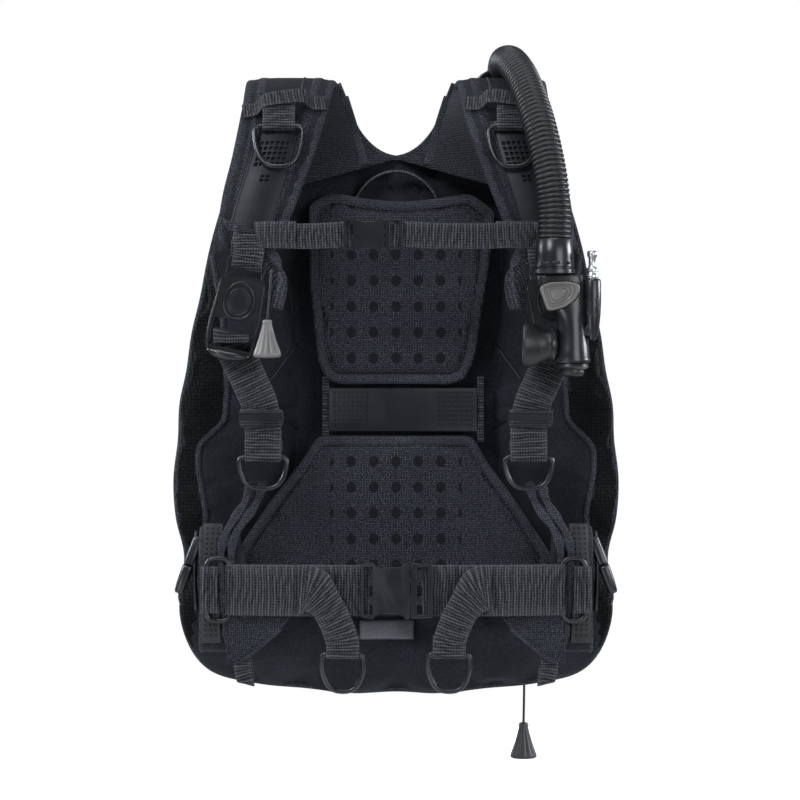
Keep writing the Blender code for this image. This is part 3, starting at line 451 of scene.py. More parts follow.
def turned(name, profile, material, place=Matrix.Identity(4), sides=40, dent=None, sharp=45):
    """A (radius, height) profile turned about local Z. Radius 0 closes an end, and dent(height, turn) scales
    the radius to flute its side. Edges over sharp degrees stay crisp."""
    points = []
    rows = []
    for radius, height in profile:
        steps = 1 if radius == 0 else sides
        rows.append(list(range(len(points), len(points) + steps)))
        for k in range(steps):
            turn = 2 * math.pi * k / sides
            reach = radius * (dent(height, turn) if dent else 1.0)
            points.append(place @ Vector((reach * math.cos(turn), reach * math.sin(turn), height)))
    faces = []
    closed = profile[0][0] > 0 and profile[-1][0] > 0
    for lower, upper in list(zip(rows, rows[1:])) + ([(rows[-1], rows[0])] if closed else []):
        for k in range(sides):
            corners = [lower[k % len(lower)], lower[(k + 1) % len(lower)],
                       upper[(k + 1) % len(upper)], upper[k % len(upper)]]
            faces.append(list(dict.fromkeys(corners)))
    piece = solid(name, points, faces, material)
    piece.data.set_sharp_from_angle(angle=math.radians(sharp))
    return piece


def box_piece(name, low, high, material, place=Matrix.Identity(4)):
    corners = [place @ Vector((x, y, z)) for z in (low[2], high[2]) for y in (low[1], high[1])
               for x in (low[0], high[0])]
    faces = [(0, 2, 3, 1), (4, 5, 7, 6), (0, 1, 5, 4), (2, 6, 7, 3), (0, 4, 6, 2), (1, 3, 7, 5)]
    return solid(name, corners, faces, material, smooth=False)


def prism(name, outline, low, high, material, place=Matrix.Identity(4)):
    """A flat outline in local X and Z, made solid between two depths along local Y."""
    count = len(outline)
    points = [place @ Vector((x, depth, z)) for depth in (low, high) for x, z in outline]
    return solid(name, points, loft_faces(2, count), material, smooth=False)


def rounded(outline, radius, steps=4):
    """Replace each corner of an outline with a short arc."""
    result = []
    count = len(outline)
    for index in range(count):
        here = Vector(outline[index])
        before = Vector(outline[index - 1]) - here
        after = Vector(outline[(index + 1) % count]) - here
        reach = min(radius, before.length * 0.45, after.length * 0.45)
        a = here + before.normalized() * reach
        b = here + after.normalized() * reach
        for step in range(steps + 1):
            t = step / steps
            result.append(tuple((1 - t) ** 2 * a + 2 * t * (1 - t) * here + t * t * b))
    return result


def show(piece, body="vest", *nodes, slot=None, blend=None):
    """Fix a finished piece on its body and let it stand for the CAD nodes that it redraws. With blend set to
    (other body, start, end) the piece is not fixed on a body: its transform is only baked into its mesh, and
    the other body, start and end are not used."""
    slot or SLOTS[piece.data.materials[0].name]
    if nodes:
        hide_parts(*nodes)
    if blend:
        other, start, end = blend
        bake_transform(piece)
        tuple(start)
        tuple(end)
    else:
        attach(piece, body)
    return piece


def torso_curve(x):
    return -WRAP * x * x


def signed_power(value, power):
    """A power that keeps the sign: it squares off a circle's sine and cosine."""
    return math.copysign(abs(value) ** power, value)


def even(start, end, count):
    return [start + (end - start) * step / (count - 1) for step in range(count)]


def loft_faces(rings, sides, closed=False):
    """Quads between rings of points, and a cap at each end unless the last ring meets the first."""
    faces = [[sides * i + k, sides * i + (k + 1) % sides, sides * ((i + 1) % rings) + (k + 1) % sides,
              sides * ((i + 1) % rings) + k]
             for i in range(rings if closed else rings - 1) for k in range(sides)]
    if not closed:
        faces += [list(range(sides)), list(range(sides * (rings - 1), sides * rings))]
    return faces


def sheet_border(rows, columns):
    """The points round the edge of a grid, in order."""
    last = columns * (rows - 1)
    border = list(range(columns)) + [columns * i + columns - 1 for i in range(1, rows)]
    border += [last + j for j in range(columns - 2, -1, -1)]
    return border + [columns * i for i in range(rows - 2, 0, -1)]


def sheet_faces(rows, columns):
    """A thin sheet's faces: its two grids of points, given one after the other, closed round their border."""
    size = rows * columns
    faces = []
    for i in range(rows - 1):
        for j in range(columns - 1):
            quad = [columns * i + j, columns * i + j + 1, columns * (i + 1) + j + 1, columns * (i + 1) + j]
            faces += [quad, [size + corner for corner in quad]]
    border = sheet_border(rows, columns)
    return faces + [[a, b, size + b, size + a] for a, b in zip(border, border[1:] + border[:1])]


# ---- soft pieces by cloth simulation -------------------------------------------------------------
def welded_copy(node, name, shrink=0.0):
    """A CAD node's mesh as a new object, with its corners welded and its faces moved in by shrink."""
    work = bmesh.new()
    work.from_mesh(NODES[node].data)
    bmesh.ops.remove_doubles(work, verts=work.verts, dist=1e-5)
    bmesh.ops.recalc_face_normals(work, faces=work.faces)
    for vert in work.verts:
        vert.normal_update()
    moves = [-vert.normal * shrink for vert in work.verts]
    for vert, move in zip(work.verts, moves):
        vert.co += move
    mesh = bpy.data.meshes.new(name)
    work.to_mesh(mesh)
    work.free()
    piece = bpy.data.objects.new(name, mesh)
    bpy.context.scene.collection.objects.link(piece)
    return piece


def inflate(piece, cap, pinned=None, pressure=4.0, swell=-0.03, bending=0.4):
    """Blow a closed fabric piece up with Blender's Cloth, then keep each point within cap of its start."""
    start = [vert.co.copy() for vert in piece.data.vertices]
    cloth = piece.modifiers.new("Cloth", "CLOTH")
    settings = cloth.settings
    settings.quality = 4
    settings.mass = 0.25
    settings.use_pressure = True
    settings.uniform_pressure_force = pressure
    settings.tension_stiffness = 18
    settings.compression_stiffness = 12
    settings.shear_stiffness = 6
    settings.bending_stiffness = bending
    settings.shrink_min = swell
    settings.effector_weights.gravity = 0.0
    cloth.collision_settings.use_collision = False
    cloth.point_cache.frame_end = SIM_FRAMES
    if pinned:
        group = piece.vertex_groups.new(name="pinned")
        group.add(pinned, 1.0, "REPLACE")
        settings.vertex_group_mass = group.name
    for step in range(1, SIM_FRAMES + 1):
        bpy.context.scene.frame_set(step)
    settle(piece)
    bpy.context.scene.frame_set(1)
    for vert, before in zip(piece.data.vertices, start):
        move = vert.co - before
        if move.length > cap:
            vert.co = before + move.normalized() * cap
    return piece


def remesh(piece, size=0.0045):
    modifier = piece.modifiers.new("Remesh", "REMESH")
    modifier.mode = "VOXEL"
    modifier.voxel_size = size
    settle(piece)
    modifier = piece.modifiers.new("Smooth", "SMOOTH")
    modifier.factor = 0.5
    modifier.iterations = 3
    return settle(piece)


def edge_chains(node, wanted):
    """Long runs of a CAD node's sharp edges whose two face normals pass a test."""
    work = bmesh.new()
    work.from_mesh(NODES[node].data)
    bmesh.ops.remove_doubles(work, verts=work.verts, dist=1e-5)
    bmesh.ops.recalc_face_normals(work, faces=work.faces)
    links = {}
    for edge in work.edges:
        if len(edge.link_faces) == 2:
            one, two = (face.normal for face in edge.link_faces)
            if wanted(one, two) or wanted(two, one):
                a, b = edge.verts
                links.setdefault(a.index, []).append(b.index)
                links.setdefault(b.index, []).append(a.index)
    spots = {vert.index: vert.co.copy() for vert in work.verts}
    work.free()
    chains = []
    left = set(links)
    while left:
        ends = sorted(index for index in left if len(links[index]) == 1)
        here = ends[0] if ends else min(left)
        chain = [here]
        left.discard(here)
        while True:
            following = [index for index in links[chain[-1]] if index in left]
            if not following:
                break
            chain.append(following[0])
            left.discard(following[0])
        if len(chain) > 4:
            chains.append([spots[index] for index in chain])
    return chains


def front_outline(node):
    """The closed outline of a curved pad's front face."""
    chains = edge_chains(node, lambda one, two: one.y < -0.5 and abs(two.y) < 0.35)
    return max(chains, key=len)


def resample(points, step, closed=False):
    line = list(points) + ([points[0]] if closed else [])
    spots = [line[0].copy()]
    carry = 0.0
    for a, b in zip(line, line[1:]):
        length = (b - a).length
        travelled = step - carry
        while travelled <= length:
            spots.append(a.lerp(b, travelled / length))
            travelled += step
        carry = length - (travelled - step)
    return spots


def smoothed(points, rounds=2, closed=False):
    for _ in range(rounds):
        count = len(points)
        points = [(points[i - 1] + points[i] * 2 + points[(i + 1) % count]) / 4
                  if closed or 0 < i < count - 1 else points[i] for i in range(count)]
    return points


def tape(name, points, closed=False, radius=BINDING):
    """Sewn binding tape along an edge."""
    line = smoothed(resample(points, 0.004, closed), 3, closed)
    return show(tube(name, line, radius, TAPE, closed=closed, smooth=False))


def stitches(name, points, lift, length=0.0026, pitch=0.0042, radius=0.00035, closed=False, body="vest"):
    """A row of thread stitches: short raised threads along a line, joined in one mesh."""
    line = resample(points, pitch, closed)
    verts = []
    faces = []
    for a, b in zip(line, line[1:]):
        way = (b - a).normalized()
        middle = (a + b) / 2 + Vector(lift)
        side = way.cross(Vector(lift).normalized()).normalized()
        up = side.cross(way).normalized()
        base = len(verts)
        for t, swell in ((-0.5, 0.25), (-0.3, 1.0), (0.3, 1.0), (0.5, 0.25)):
            spot = middle + way * (t * length)
            for k in range(4):
                turn = math.pi / 2 * k
                verts.append(spot + (side * math.cos(turn) + up * math.sin(turn)) * radius * swell)
        faces += [[base + corner for corner in face] for face in loft_faces(4, 4)]
    return show(solid(name, verts, faces, THREAD), body)


# ---- the air cell --------------------------------------------------------------------------------
CELL_MIDDLE = Vector((0.0, 0.0, -0.0125))
CELL_TURNS = 38         # sections in the frame's ring-shaped cell
AROUND = 228
SECTION = 44


def cell_sections():
    """Inner and outer radius and thickness of the CAD shell at each of its sections."""
    groups = [[] for _ in range(CELL_TURNS)]
    for vert in NODES["outer_shell"].data.vertices:
        turn = math.atan2(vert.co.z - CELL_MIDDLE.z, vert.co.x) % (2 * math.pi)
        place = turn / (2 * math.pi) * CELL_TURNS - 0.5
        if abs(place - round(place)) < 0.02:
            radius = math.hypot(vert.co.x, vert.co.z - CELL_MIDDLE.z)
            groups[round(place) % CELL_TURNS].append((radius, vert.co.y - torso_curve(vert.co.x)))
    sections = []
    for group in groups:
        radii = [radius for radius, _ in group]
        depths = [depth for _, depth in group]
        near, far = min(depths), max(depths)
        sections.append((min(radii), max(radii), (far + near) / 2, (far - near) / 2))
    return sections


def blend_sections(sections, turn):
    """The cell's section at any turn, on a smooth curve through the CAD's sections."""
    place = turn / (2 * math.pi) * CELL_TURNS - 0.5
    low = math.floor(place)
    t = place - low
    p0, p1, p2, p3 = (sections[(low + k) % CELL_TURNS] for k in (-1, 0, 1, 2))
    return [0.5 * (2 * b + (c - a) * t + (2 * a - 5 * b + 4 * c - d) * t * t
                   + (3 * b - a - 3 * c + d) * t ** 3)
            for a, b, c, d in zip(p0, p1, p2, p3)]


def panel_edge(z):
    """How far out the mesh side panel starts on the front, at one height."""
    steps = [(-0.30, 0.212), (-0.105, 0.191), (-0.060, 0.199), (-0.036, 0.199), (-0.011, 0.173),
             (0.025, 0.171), (0.10, 0.176), (0.16, 0.186)]
    for (z1, x1), (z2, x2) in zip(steps, steps[1:]):
        if z1 <= z <= z2:
            return x1 + (x2 - x1) * (z - z1) / (z2 - z1)
    return steps[-1][1] if z > steps[-1][0] else steps[0][1]


def cell_grid(name, inset, material):
    """The ring-shaped cell as a fine grid of quads, inset from the CAD shell and lightly creased."""
    sections = cell_sections()
    points = []
    for i in range(AROUND):
        turn = 2 * math.pi * (i + 0.5) / AROUND
        hole, reach, offset, thick = blend_sections(sections, turn)
        for j in range(SECTION):
            swing = 2 * math.pi * j / SECTION
            fullness = 0.86 + 0.10 * abs(math.sin(swing))
            radius = (hole + reach) / 2 + ((reach - hole) / 2 - inset) * signed_power(math.cos(swing), 0.9)
            x = radius * math.cos(turn)
            z = CELL_MIDDLE.z + radius * math.sin(turn)
            crease = 0.0016 * noise.noise(Vector((x * 18, j * 0.2, z * 18)))
            depth = (thick * fullness + crease - inset * 0.5) * math.sin(swing)
            points.append((x, torso_curve(x) + offset + depth, z))
    return solid(name, points, loft_faces(AROUND, SECTION, closed=True), material), points


def make_cell():
    """The padded air cell: smooth nylon, mesh side panels, binding tape on its seams, the bladder inside."""
    cell, points = cell_grid("air_cell_cover", 0.0035, SHELL)
    cell.data.materials.append(SIDE_MESH)
    seams = [i * SECTION + j for i in range(AROUND) for j in (0, SECTION // 2)]
    front = [i * SECTION + j for i in range(AROUND) for j in range(SECTION // 2 + 1, SECTION)]
    for index in front:
        spot = Vector(points[index])
        if abs(abs(spot.x) - panel_edge(spot.z)) < 0.0022 and -0.12 < spot.z < 0.17:
            seams.append(index)
    inflate(cell, 0.008, pinned=seams, pressure=3.5, swell=-0.05, bending=0.25)
    outer = [cell.data.vertices[i * SECTION].co.copy() for i in range(AROUND)]
    inner = [cell.data.vertices[i * SECTION + SECTION // 2].co.copy() for i in range(AROUND)]
    for face in cell.data.polygons:
        spot = face.center
        in_front = face.index % SECTION >= SECTION // 2
        face.material_index = 1 if in_front and abs(spot.x) > panel_edge(spot.z) and spot.z < 0.17 else 0
    subdivide(cell)
    tape("cell_outer_binding", outer, closed=True, radius=0.0030)
    tape("cell_inner_binding", inner, closed=True)
    bladder, _ = cell_grid("inner_bladder", 0.038, FILM)
    show(bladder, "vest", "air_bladder")
    return show(cell, "vest", "outer_shell")


def on_surface(tree, x, z, lift=0.0):
    """The front of a piece at one place, seen from the wearer's side."""
    hit, normal, _, _ = tree.ray_cast(Vector((x, -0.5, z)), Vector((0, 1, 0)))
    return None if hit is None else hit + normal * lift


def make_panel_seams(cell):
    """Tape where the mesh side panels meet the smooth front, laid on the finished surface."""
    tree = BVHTree.FromObject(cell, bpy.context.evaluated_depsgraph_get())
    for side, word in SIDES:
        line = []
        for step in range(70):
            z = -0.118 + 0.285 * step / 69
            spot = on_surface(tree, side * (panel_edge(z) - 0.001), z, 0.0006)
            if spot is not None:
                line.append(spot)
        tape("side_panel_binding_" + word, line, radius=0.0030)


def make_liner():
    """The sewn cloth behind the pads, which covers the backplate and meets the cell's inner seam."""
    columns, rows = 60, 90
    low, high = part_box("backplate")
    near = low.y - 0.0019
    half = 0.108
    points = []
    for face_side in (0, 1):
        for i in range(rows):
            z = low.z - 0.034 + (high.z + 0.062 - low.z + 0.034) * i / (rows - 1)
            for j in range(columns):
                x = -half + 2 * half * j / (columns - 1)
                blend = max(0.0, abs(x) - high.x) / (half - high.x)
                depth = near * (1 - blend) + 0.004 * blend
                pucker = 0.0007 * noise.noise(Vector((x * 40, z * 40, 1.7))) * (blend + 0.15)
                points.append((x, torso_curve(x) * blend + depth + pucker + face_side * 0.0008, z))
    return show(solid("back_liner", points, sheet_faces(rows, columns), SHELL))


# ---- back pads -----------------------------------------------------------------------------------
def make_back_pad(node):
    """One padded panel: a swollen body in spacer mesh and a taped edge with its row of stitches."""
    outline = front_outline(node)
    pad = welded_copy(node, node + "_cushion", shrink=0.0012)
    remesh(pad, 0.0042)
    inflate(pad, 0.005, pressure=4.0, swell=-0.02, bending=0.6)
    subdivide(pad)
    pad.data.materials.clear()
    pad.data.materials.append(PAD_MESH)
    edge = resample(outline, 0.004, closed=True)
    centre = sum(edge, Vector()) / len(edge)
    inset = [point + (centre - point).normalized() * 0.0022 for point in edge]
    flat_tape(node + "_binding", smoothed(inset, 3, closed=True), centre, 0.0092, 0.0022)
    return show(pad, "vest", node)


def flat_tape(name, ring, centre, width, rise):
    """Flat binding folded over a pad's edge: a low arched band that follows the outline."""
    count = len(ring)
    rows = []
    profile = [(-0.15, 0.0100), (-0.10, 0.0015), (0.02, -0.0012), (0.5, -rise), (0.92, -rise * 0.8),
               (1.0, 0.0004), (0.5, 0.0030)]
    for index, point in enumerate(ring):
        ahead = (ring[(index + 1) % count] - ring[index - 1]).normalized()
        inward = ahead.cross(Vector((0, 1, 0))).normalized()
        if inward.dot(centre - point) < 0:
            inward = -inward
        for share, depth in profile:
            spot = point + inward * (share * width)
            spot.y += depth + torso_curve(spot.x) - torso_curve(point.x)
            rows.append(spot)
    size = len(profile)
    band = subdivide(solid(name, rows, loft_faces(count, size, closed=True), TAPE))
    middle = [rows[size * i + 4] for i in range(count)]
    stitches(name + "_stitches", middle, (0, -0.0006, 0), closed=True)
    return show(band)


# ---- swept pieces --------------------------------------------------------------------------------
def swept(name, line, section, material, side=(1, 0, 0)):
    """A closed section carried along a line whose points may hold a width as a fourth number.
    section(share, width) gives points across the line and out of it, in metres."""
    count = len(line)
    rows = []
    for index, stop in enumerate(line):
        centre = stop.to_3d()
        tangent = (line[min(index + 1, count - 1)].to_3d() - line[max(index - 1, 0)].to_3d()).normalized()
        across = Vector(side)
        across = (across - tangent * across.dot(tangent)).normalized()
        out = tangent.cross(across).normalized()
        width = stop.w if len(stop) == 4 else 1.0
        rows += [centre + across * a + out * b for a, b in section(index / (count - 1), width)]
    return solid(name, rows, loft_faces(count, len(rows) // count), material)


def ribbon(name, line, half_wide, half_thick, side):
    """A plain tape with a rounded flat section, swept along a line and shown."""
    return show(swept(name, line, lambda share, width: oval(half_wide, half_thick), TAPE, side))


def oval(half_wide, half_thick, sides=14, square=0.7, a=0.0, b=0.0):
    """A rounded flat section round the point (a, b)."""
    points = []
    for k in range(sides):
        turn = 2 * math.pi * k / sides
        points.append((a + half_wide * signed_power(math.cos(turn), square),
                       b + half_thick * signed_power(math.sin(turn), square)))
    return points


def cells(start, pitch, size, count):
    """Both edges of count small cells in a row."""
    return [start + pitch * index + edge for index in range(count) for edge in (0.0, size)]


def lattice(name, us, vs, depth, place, thick, material):
    """A plate made of small cells, each at its own depth, such as a moulded grid.
    depth(i, j) is a cell's depth, and place(u, v, lift) gives a point."""
    columns, rows = len(us) - 1, len(vs) - 1
    spots = {}
    points = []
    faces = []

    def corner(i, j, lift):
        key = (i, j, round(lift, 6))
        if key not in spots:
            spots[key] = len(points)
            points.append(place(us[i], vs[j], lift))
        return spots[key]

    def level(i, j):
        return depth(i, j) if 0 <= i < columns and 0 <= j < rows else -thick

    for i in range(columns):
        for j in range(rows):
            here = level(i, j)
            faces.append([corner(i, j, here), corner(i + 1, j, here), corner(i + 1, j + 1, here),
                          corner(i, j + 1, here)])
            faces.append([corner(i, j, -thick), corner(i, j + 1, -thick), corner(i + 1, j + 1, -thick),
                          corner(i + 1, j, -thick)])
            for di, dj, a, b in ((1, 0, (1, 0), (1, 1)), (-1, 0, (0, 1), (0, 0)), (0, 1, (1, 1), (0, 1)),
                                 (0, -1, (0, 0), (1, 0))):
                there = level(i + di, j + dj)
                if here > there:
                    faces.append([corner(i + a[0], j + a[1], here), corner(i + b[0], j + b[1], here),
                                  corner(i + b[0], j + b[1], there), corner(i + a[0], j + a[1], there)])
    return solid(name, points, faces, material, smooth=False)


def box_stitch(name, spot, across, up, out, width, height, body="vest"):
    """The stitched box and cross that fixes webbing, seen on its face."""
    spot, across, up = Vector(spot), Vector(across).normalized(), Vector(up).normalized()
    a, b = across * width / 2, up * height / 2
    corners = [spot - a - b, spot + a - b, spot + a + b, spot - a + b, spot - a - b, spot + a + b]
    return stitches(name, corners, Vector(out) * 0.0004, length=0.0021, pitch=0.0030, body=body)


# ---- shoulders -----------------------------------------------------------------------------------
CREST = 0.3285              # height of the shoulder strap's highest point
# the strap's middle line on the wearer's left, from the crest down
SHOULDER_LINE = curve_through([(0.106, -0.030, 0.3290), (0.108, -0.060, 0.317), (0.113, -0.086, 0.288),
                               (0.126, -0.104, 0.240), (0.141, -0.115, 0.190), (0.150, -0.121, 0.145),
                               (0.157, -0.126, 0.090), (0.156, -0.128, 0.045)], 0.004)
PLATE_LIFT = 0.0065         # back of the moulded plate above that line
TAB_LIFT = 0.0115
RING_WIRE = 0.0025
RING_TURN = 0.0042          # webbing's middle to the middle of the ring bar it folds round
BUCKLE_CENTRE = Vector((0.156, -0.132, 0.100))
BUCKLE_TILT = math.radians(12)
TONGUE_BAR = 0.0458
FRAME_BAR = -0.0285


def on_shoulder(side, z, across=0.0, lift=0.0):
    """A point above the shoulder strap: across counts outwards, lift towards the wearer's front."""
    for a, b in zip(SHOULDER_LINE, SHOULDER_LINE[1:]):
        if b.z <= z <= a.z:
            spot = a.lerp(b, (a.z - z) / (a.z - b.z))
            way = (b - a).normalized()
            out = Vector((0, way.z, -way.y)).normalized()
            return Vector((side * (spot.x + across), spot.y, spot.z)) + out * lift
    raise ValueError("height is off the strap")


def shoulder_stations(side):
    """The pad's middle line with its width, from behind the shoulder to the pad's lower end."""
    behind = [(0.102, 0.030, 0.315, 0.080), (0.103, 0.018, 0.3235, 0.084), (0.104, 0.000, 0.3285, 0.088)]
    front = [(0.3285, 0.088), (0.317, 0.086), (0.300, 0.084), (0.270, 0.080), (0.240, 0.075), (0.205, 0.070),
             (0.175, 0.062), (0.158, 0.050)]
    stations = [(side * x, y, z, width) for x, y, z, width in behind]
    stations += [(*on_shoulder(side, z), width) for z, width in front]
    return curve_through([Vector(station) for station in stations], 0.0045)


def make_shoulder_pad(side, word):
    line = shoulder_stations(side)
    count = 26

    def padded(_, width):
        points = []
        for k in range(count):
            turn = 2 * math.pi * (k + 0.5) / count
            share = signed_power(math.cos(turn), 0.8)
            swell = 0.0016 + 0.0036 * (1 - share ** 4)
            points.append((share * (width / 2 - 0.001), math.copysign(swell, math.sin(turn))))
        return points

    pad = swept("shoulder_pad_cover_" + word, line, padded, STRAP_CLOTH)
    edge = [i * count + k for i in range(len(line)) for k in (0, count - 1, count // 2 - 1, count // 2)]
    inflate(pad, 0.0012, pinned=edge, pressure=3.0, swell=-0.03, bending=0.3)
    show(subdivide(pad), "vest", "shoulder_pad_" + word)
    for sign, where in ((side, "outer"), (-side, "inner")):
        rib = swept(f"shoulder_binding_{where}_{word}", line,
                    lambda share, width: oval(0.0062, 0.0040 + 0.0004 * math.sin(share * 260), square=0.8,
                                              a=sign * (width / 2 - 0.0052)), TAPE)
        show(rib)
        strip = swept(f"shoulder_mesh_{where}_{word}", line[4:],
                      lambda share, width: oval(0.0048, 0.0016, a=sign * (width / 2 - 0.0170), b=0.0048),
                      FINE_MESH)
        show(strip)
        raised = []
        for stop in line[6:]:
            z = min(CREST, max(0.05, stop.z))
            out = on_shoulder(side, z, 0, 1) - on_shoulder(side, z)
            raised.append(stop.to_3d() + Vector((sign * (stop.w / 2 - 0.0117), 0, 0)) + out * 0.0052)
        stitches(f"shoulder_stitches_{where}_{word}", raised, (0, -0.0001, 0.00005))
    piping = swept("shoulder_piping_" + word, line[5:22],
                   lambda share, width: oval(0.0012, 0.0012, square=1.0, a=-side * 0.0135, b=0.0058), THREAD)
    show(piping)


def make_shoulder_wing(side, word):
    """The mesh flap that closes the inner side of the strap's lower end, with its taped edge."""
    edge = curve_through([(0.171, -0.1180, 0.184), (0.152, -0.1285, 0.177), (0.131, -0.1300, 0.164),
                          (0.115, -0.1270, 0.142), (0.112, -0.1225, 0.120), (0.117, -0.1160, 0.100)], 0.004)
    line = [Vector((side * spot.x, spot.y, spot.z)) for spot in edge]
    ribbon("shoulder_end_tape_" + word, line, 0.0055, 0.0014, side=(0.35 * side, 0.0, 1.0))
    columns = 8
    rows = []
    for layer in (0.0, 0.0018):
        for index, spot in enumerate(line):
            share = index / (len(line) - 1)
            inner = Vector((side * (0.136 - 0.004 * share), -0.110 + 0.006 * share, 0.160 - 0.065 * share))
            for t in even(0, 1, columns):
                mid = spot.lerp(inner, t)
                mid.y += 0.001 + layer + 0.004 * math.sin(math.pi * t)
                rows.append(mid)
    show(solid("shoulder_wing_" + word, rows, sheet_faces(len(line), columns), FINE_MESH))


def make_shoulder_plate(side, word):
    """The moulded plate: rows of square holes under the ring, four small ones, and a smooth lower half."""
    width = 0.042
    pitch = 0.0052
    hole = 0.0034
    us = [-width / 2] + cells(-2.5 * pitch - hole / 2, pitch, hole, 6) + [width / 2]
    vs = [0.284] + cells(0.2635, -pitch, -hole, 5) + [0.2300, 0.2280, 0.2262, 0.2242, 0.2100, 0.1950, 0.1760]

    def depth(i, j):
        grid = i % 2 == 1 and j % 2 == 1 and j < 10
        small = i in (5, 7) and j in (11, 13)
        return -0.0026 if grid or small else 0.0

    def place(u, v, lift):
        return on_shoulder(side, v, u, PLATE_LIFT + thick + lift - 7.0 * u * u)

    thick = 0.003
    plate = lattice("shoulder_grid_plate_" + word, us, vs, depth, place, thick, SMOOTH_PLATE)
    show(bevel(plate, 0.0004), "vest", "shoulder_plate_" + word)
    rail = [on_shoulder(side, z, 0, PLATE_LIFT + 0.0022) for z in even(0.282, 0.178, 24)]
    for sign, where in ((side, "outer"), (-side, "inner")):
        edge = [spot + Vector((sign * (width / 2 - 0.0016), 0.0026, 0)) for spot in rail]
        show(tube(f"plate_rim_{where}_{word}", edge, 0.0013, SMOOTH_PLATE))


def make_ring(name, centre, width, drop, slope):
    """A bent wire ring on the body of the same name: straight bar on top, half an oval below it."""
    half = width / 2 - RING_WIRE
    down = Vector(slope).normalized()
    centre = Vector(centre)
    path = [centre + Vector((half * share, 0, 0)) for share in (0.9, 0.45, 0.0, -0.45, -0.9)]
    for turn in even(math.pi, 2 * math.pi, 33):
        across = signed_power(math.cos(turn), 0.72)
        path.append(centre + Vector((half * across, 0, 0))
                    + down * (0.0022 + (drop - 2 * RING_WIRE) * abs(math.sin(turn)) ** 0.86))
    path = smoothed(resample(path, 0.0022, closed=True)[:-1], 2, closed=True)
    ring = tube(name + "_wire", path, RING_WIRE, BUCKLE, closed=True, sides=16, smooth=False)
    return show(ring, name, name)


def fold_under(bar, radius, front=True, steps=11):
    """Half a turn of webbing under a bar along X, from behind it to its front."""
    points = [Vector(bar) + Vector((0, radius * math.cos(turn), -radius * math.sin(turn)))
              for turn in even(0.0, math.pi, steps)]
    return points if front else points[::-1]


def buckle_place(side):
    """The shoulder buckle's own frame: X across it, Z up it, -Y towards the viewer."""
    spot = Vector((side * BUCKLE_CENTRE.x, BUCKLE_CENTRE.y, BUCKLE_CENTRE.z))
    return Matrix.Translation(spot) @ Matrix.Rotation(-side * BUCKLE_TILT, 4, "Y")


def pivot(joint):
    """Where one of the record's joints turns."""
    return Vector(next(entry["pos_m"] for entry in frame["record"]["behaviour"]["joints"]
                       if entry["name"] == joint))


def make_chest_tab(side, word):
    """The webbing tab that holds the chest ring, and the tape sewn across the strap above it."""
    low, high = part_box("chest_ring_" + word)
    bar = pivot(f"chest_ring_{word}_swing")
    slope = on_shoulder(side, 0.250) - on_shoulder(side, 0.276)
    slope.x = 0
    make_ring("chest_ring_" + word, bar, high.x - low.x, 0.046, slope)
    path = [on_shoulder(side, z, 0, TAB_LIFT - 0.0010) for z in (0.304, 0.297, 0.290)]
    path += fold_under(bar, 0.0038)
    path += [on_shoulder(side, z, 0, TAB_LIFT + 0.0068) for z in (0.2855, 0.293, 0.299)]
    for spot in path:
        spot.x = bar.x
    tab = strap("chest_tab_" + word, path, (1, 0, 0), 0.032, step=0.0020, wave=0.0002)
    show(tab, "vest", "chest_ring_tab_" + word)
    cover = [(0.041, 0.0072), (0.034, 0.0080), (0.0265, 0.0100), (0.0205, 0.0195), (0.012, 0.0222),
             (0.0, 0.0228), (-0.012, 0.0222), (-0.0205, 0.0195), (-0.0265, 0.0100), (-0.034, 0.0080),
             (-0.041, 0.0072)]
    path = [on_shoulder(side, 0.2975 - 0.004 * across / 0.04, across, lift) for across, lift in cover]
    along_strap = on_shoulder(side, 0.305) - on_shoulder(side, 0.285)
    along_strap.x = 0
    show(strap("chest_cross_tape_" + word, path, along_strap, 0.0165, thick=0.0014, step=0.0025, wave=0.0003))


def make_shoulder_webbing(side, word):
    """The short strap from under the plate to the release buckle's tongue."""
    place = buckle_place(side)
    slant = place.to_3x3() @ Vector((1, 0, 0))
    bar = place @ Vector((0, -0.0005, TONGUE_BAR))
    path = [on_shoulder(side, z, 0, TAB_LIFT - 0.0010) for z in (0.178, 0.169, 0.160)]
    path += fold_under(bar, 0.0067)
    path.append(bar + Vector((-side * 0.002, -0.0067, 0.012)))
    path.append(on_shoulder(side, 0.172, 0, TAB_LIFT + 0.0035))
    webbing = strap("shoulder_strap_" + word, path, slant, 0.030, step=0.0025, wave=0.0002)
    show(webbing, "vest", "shoulder_webbing_" + word)


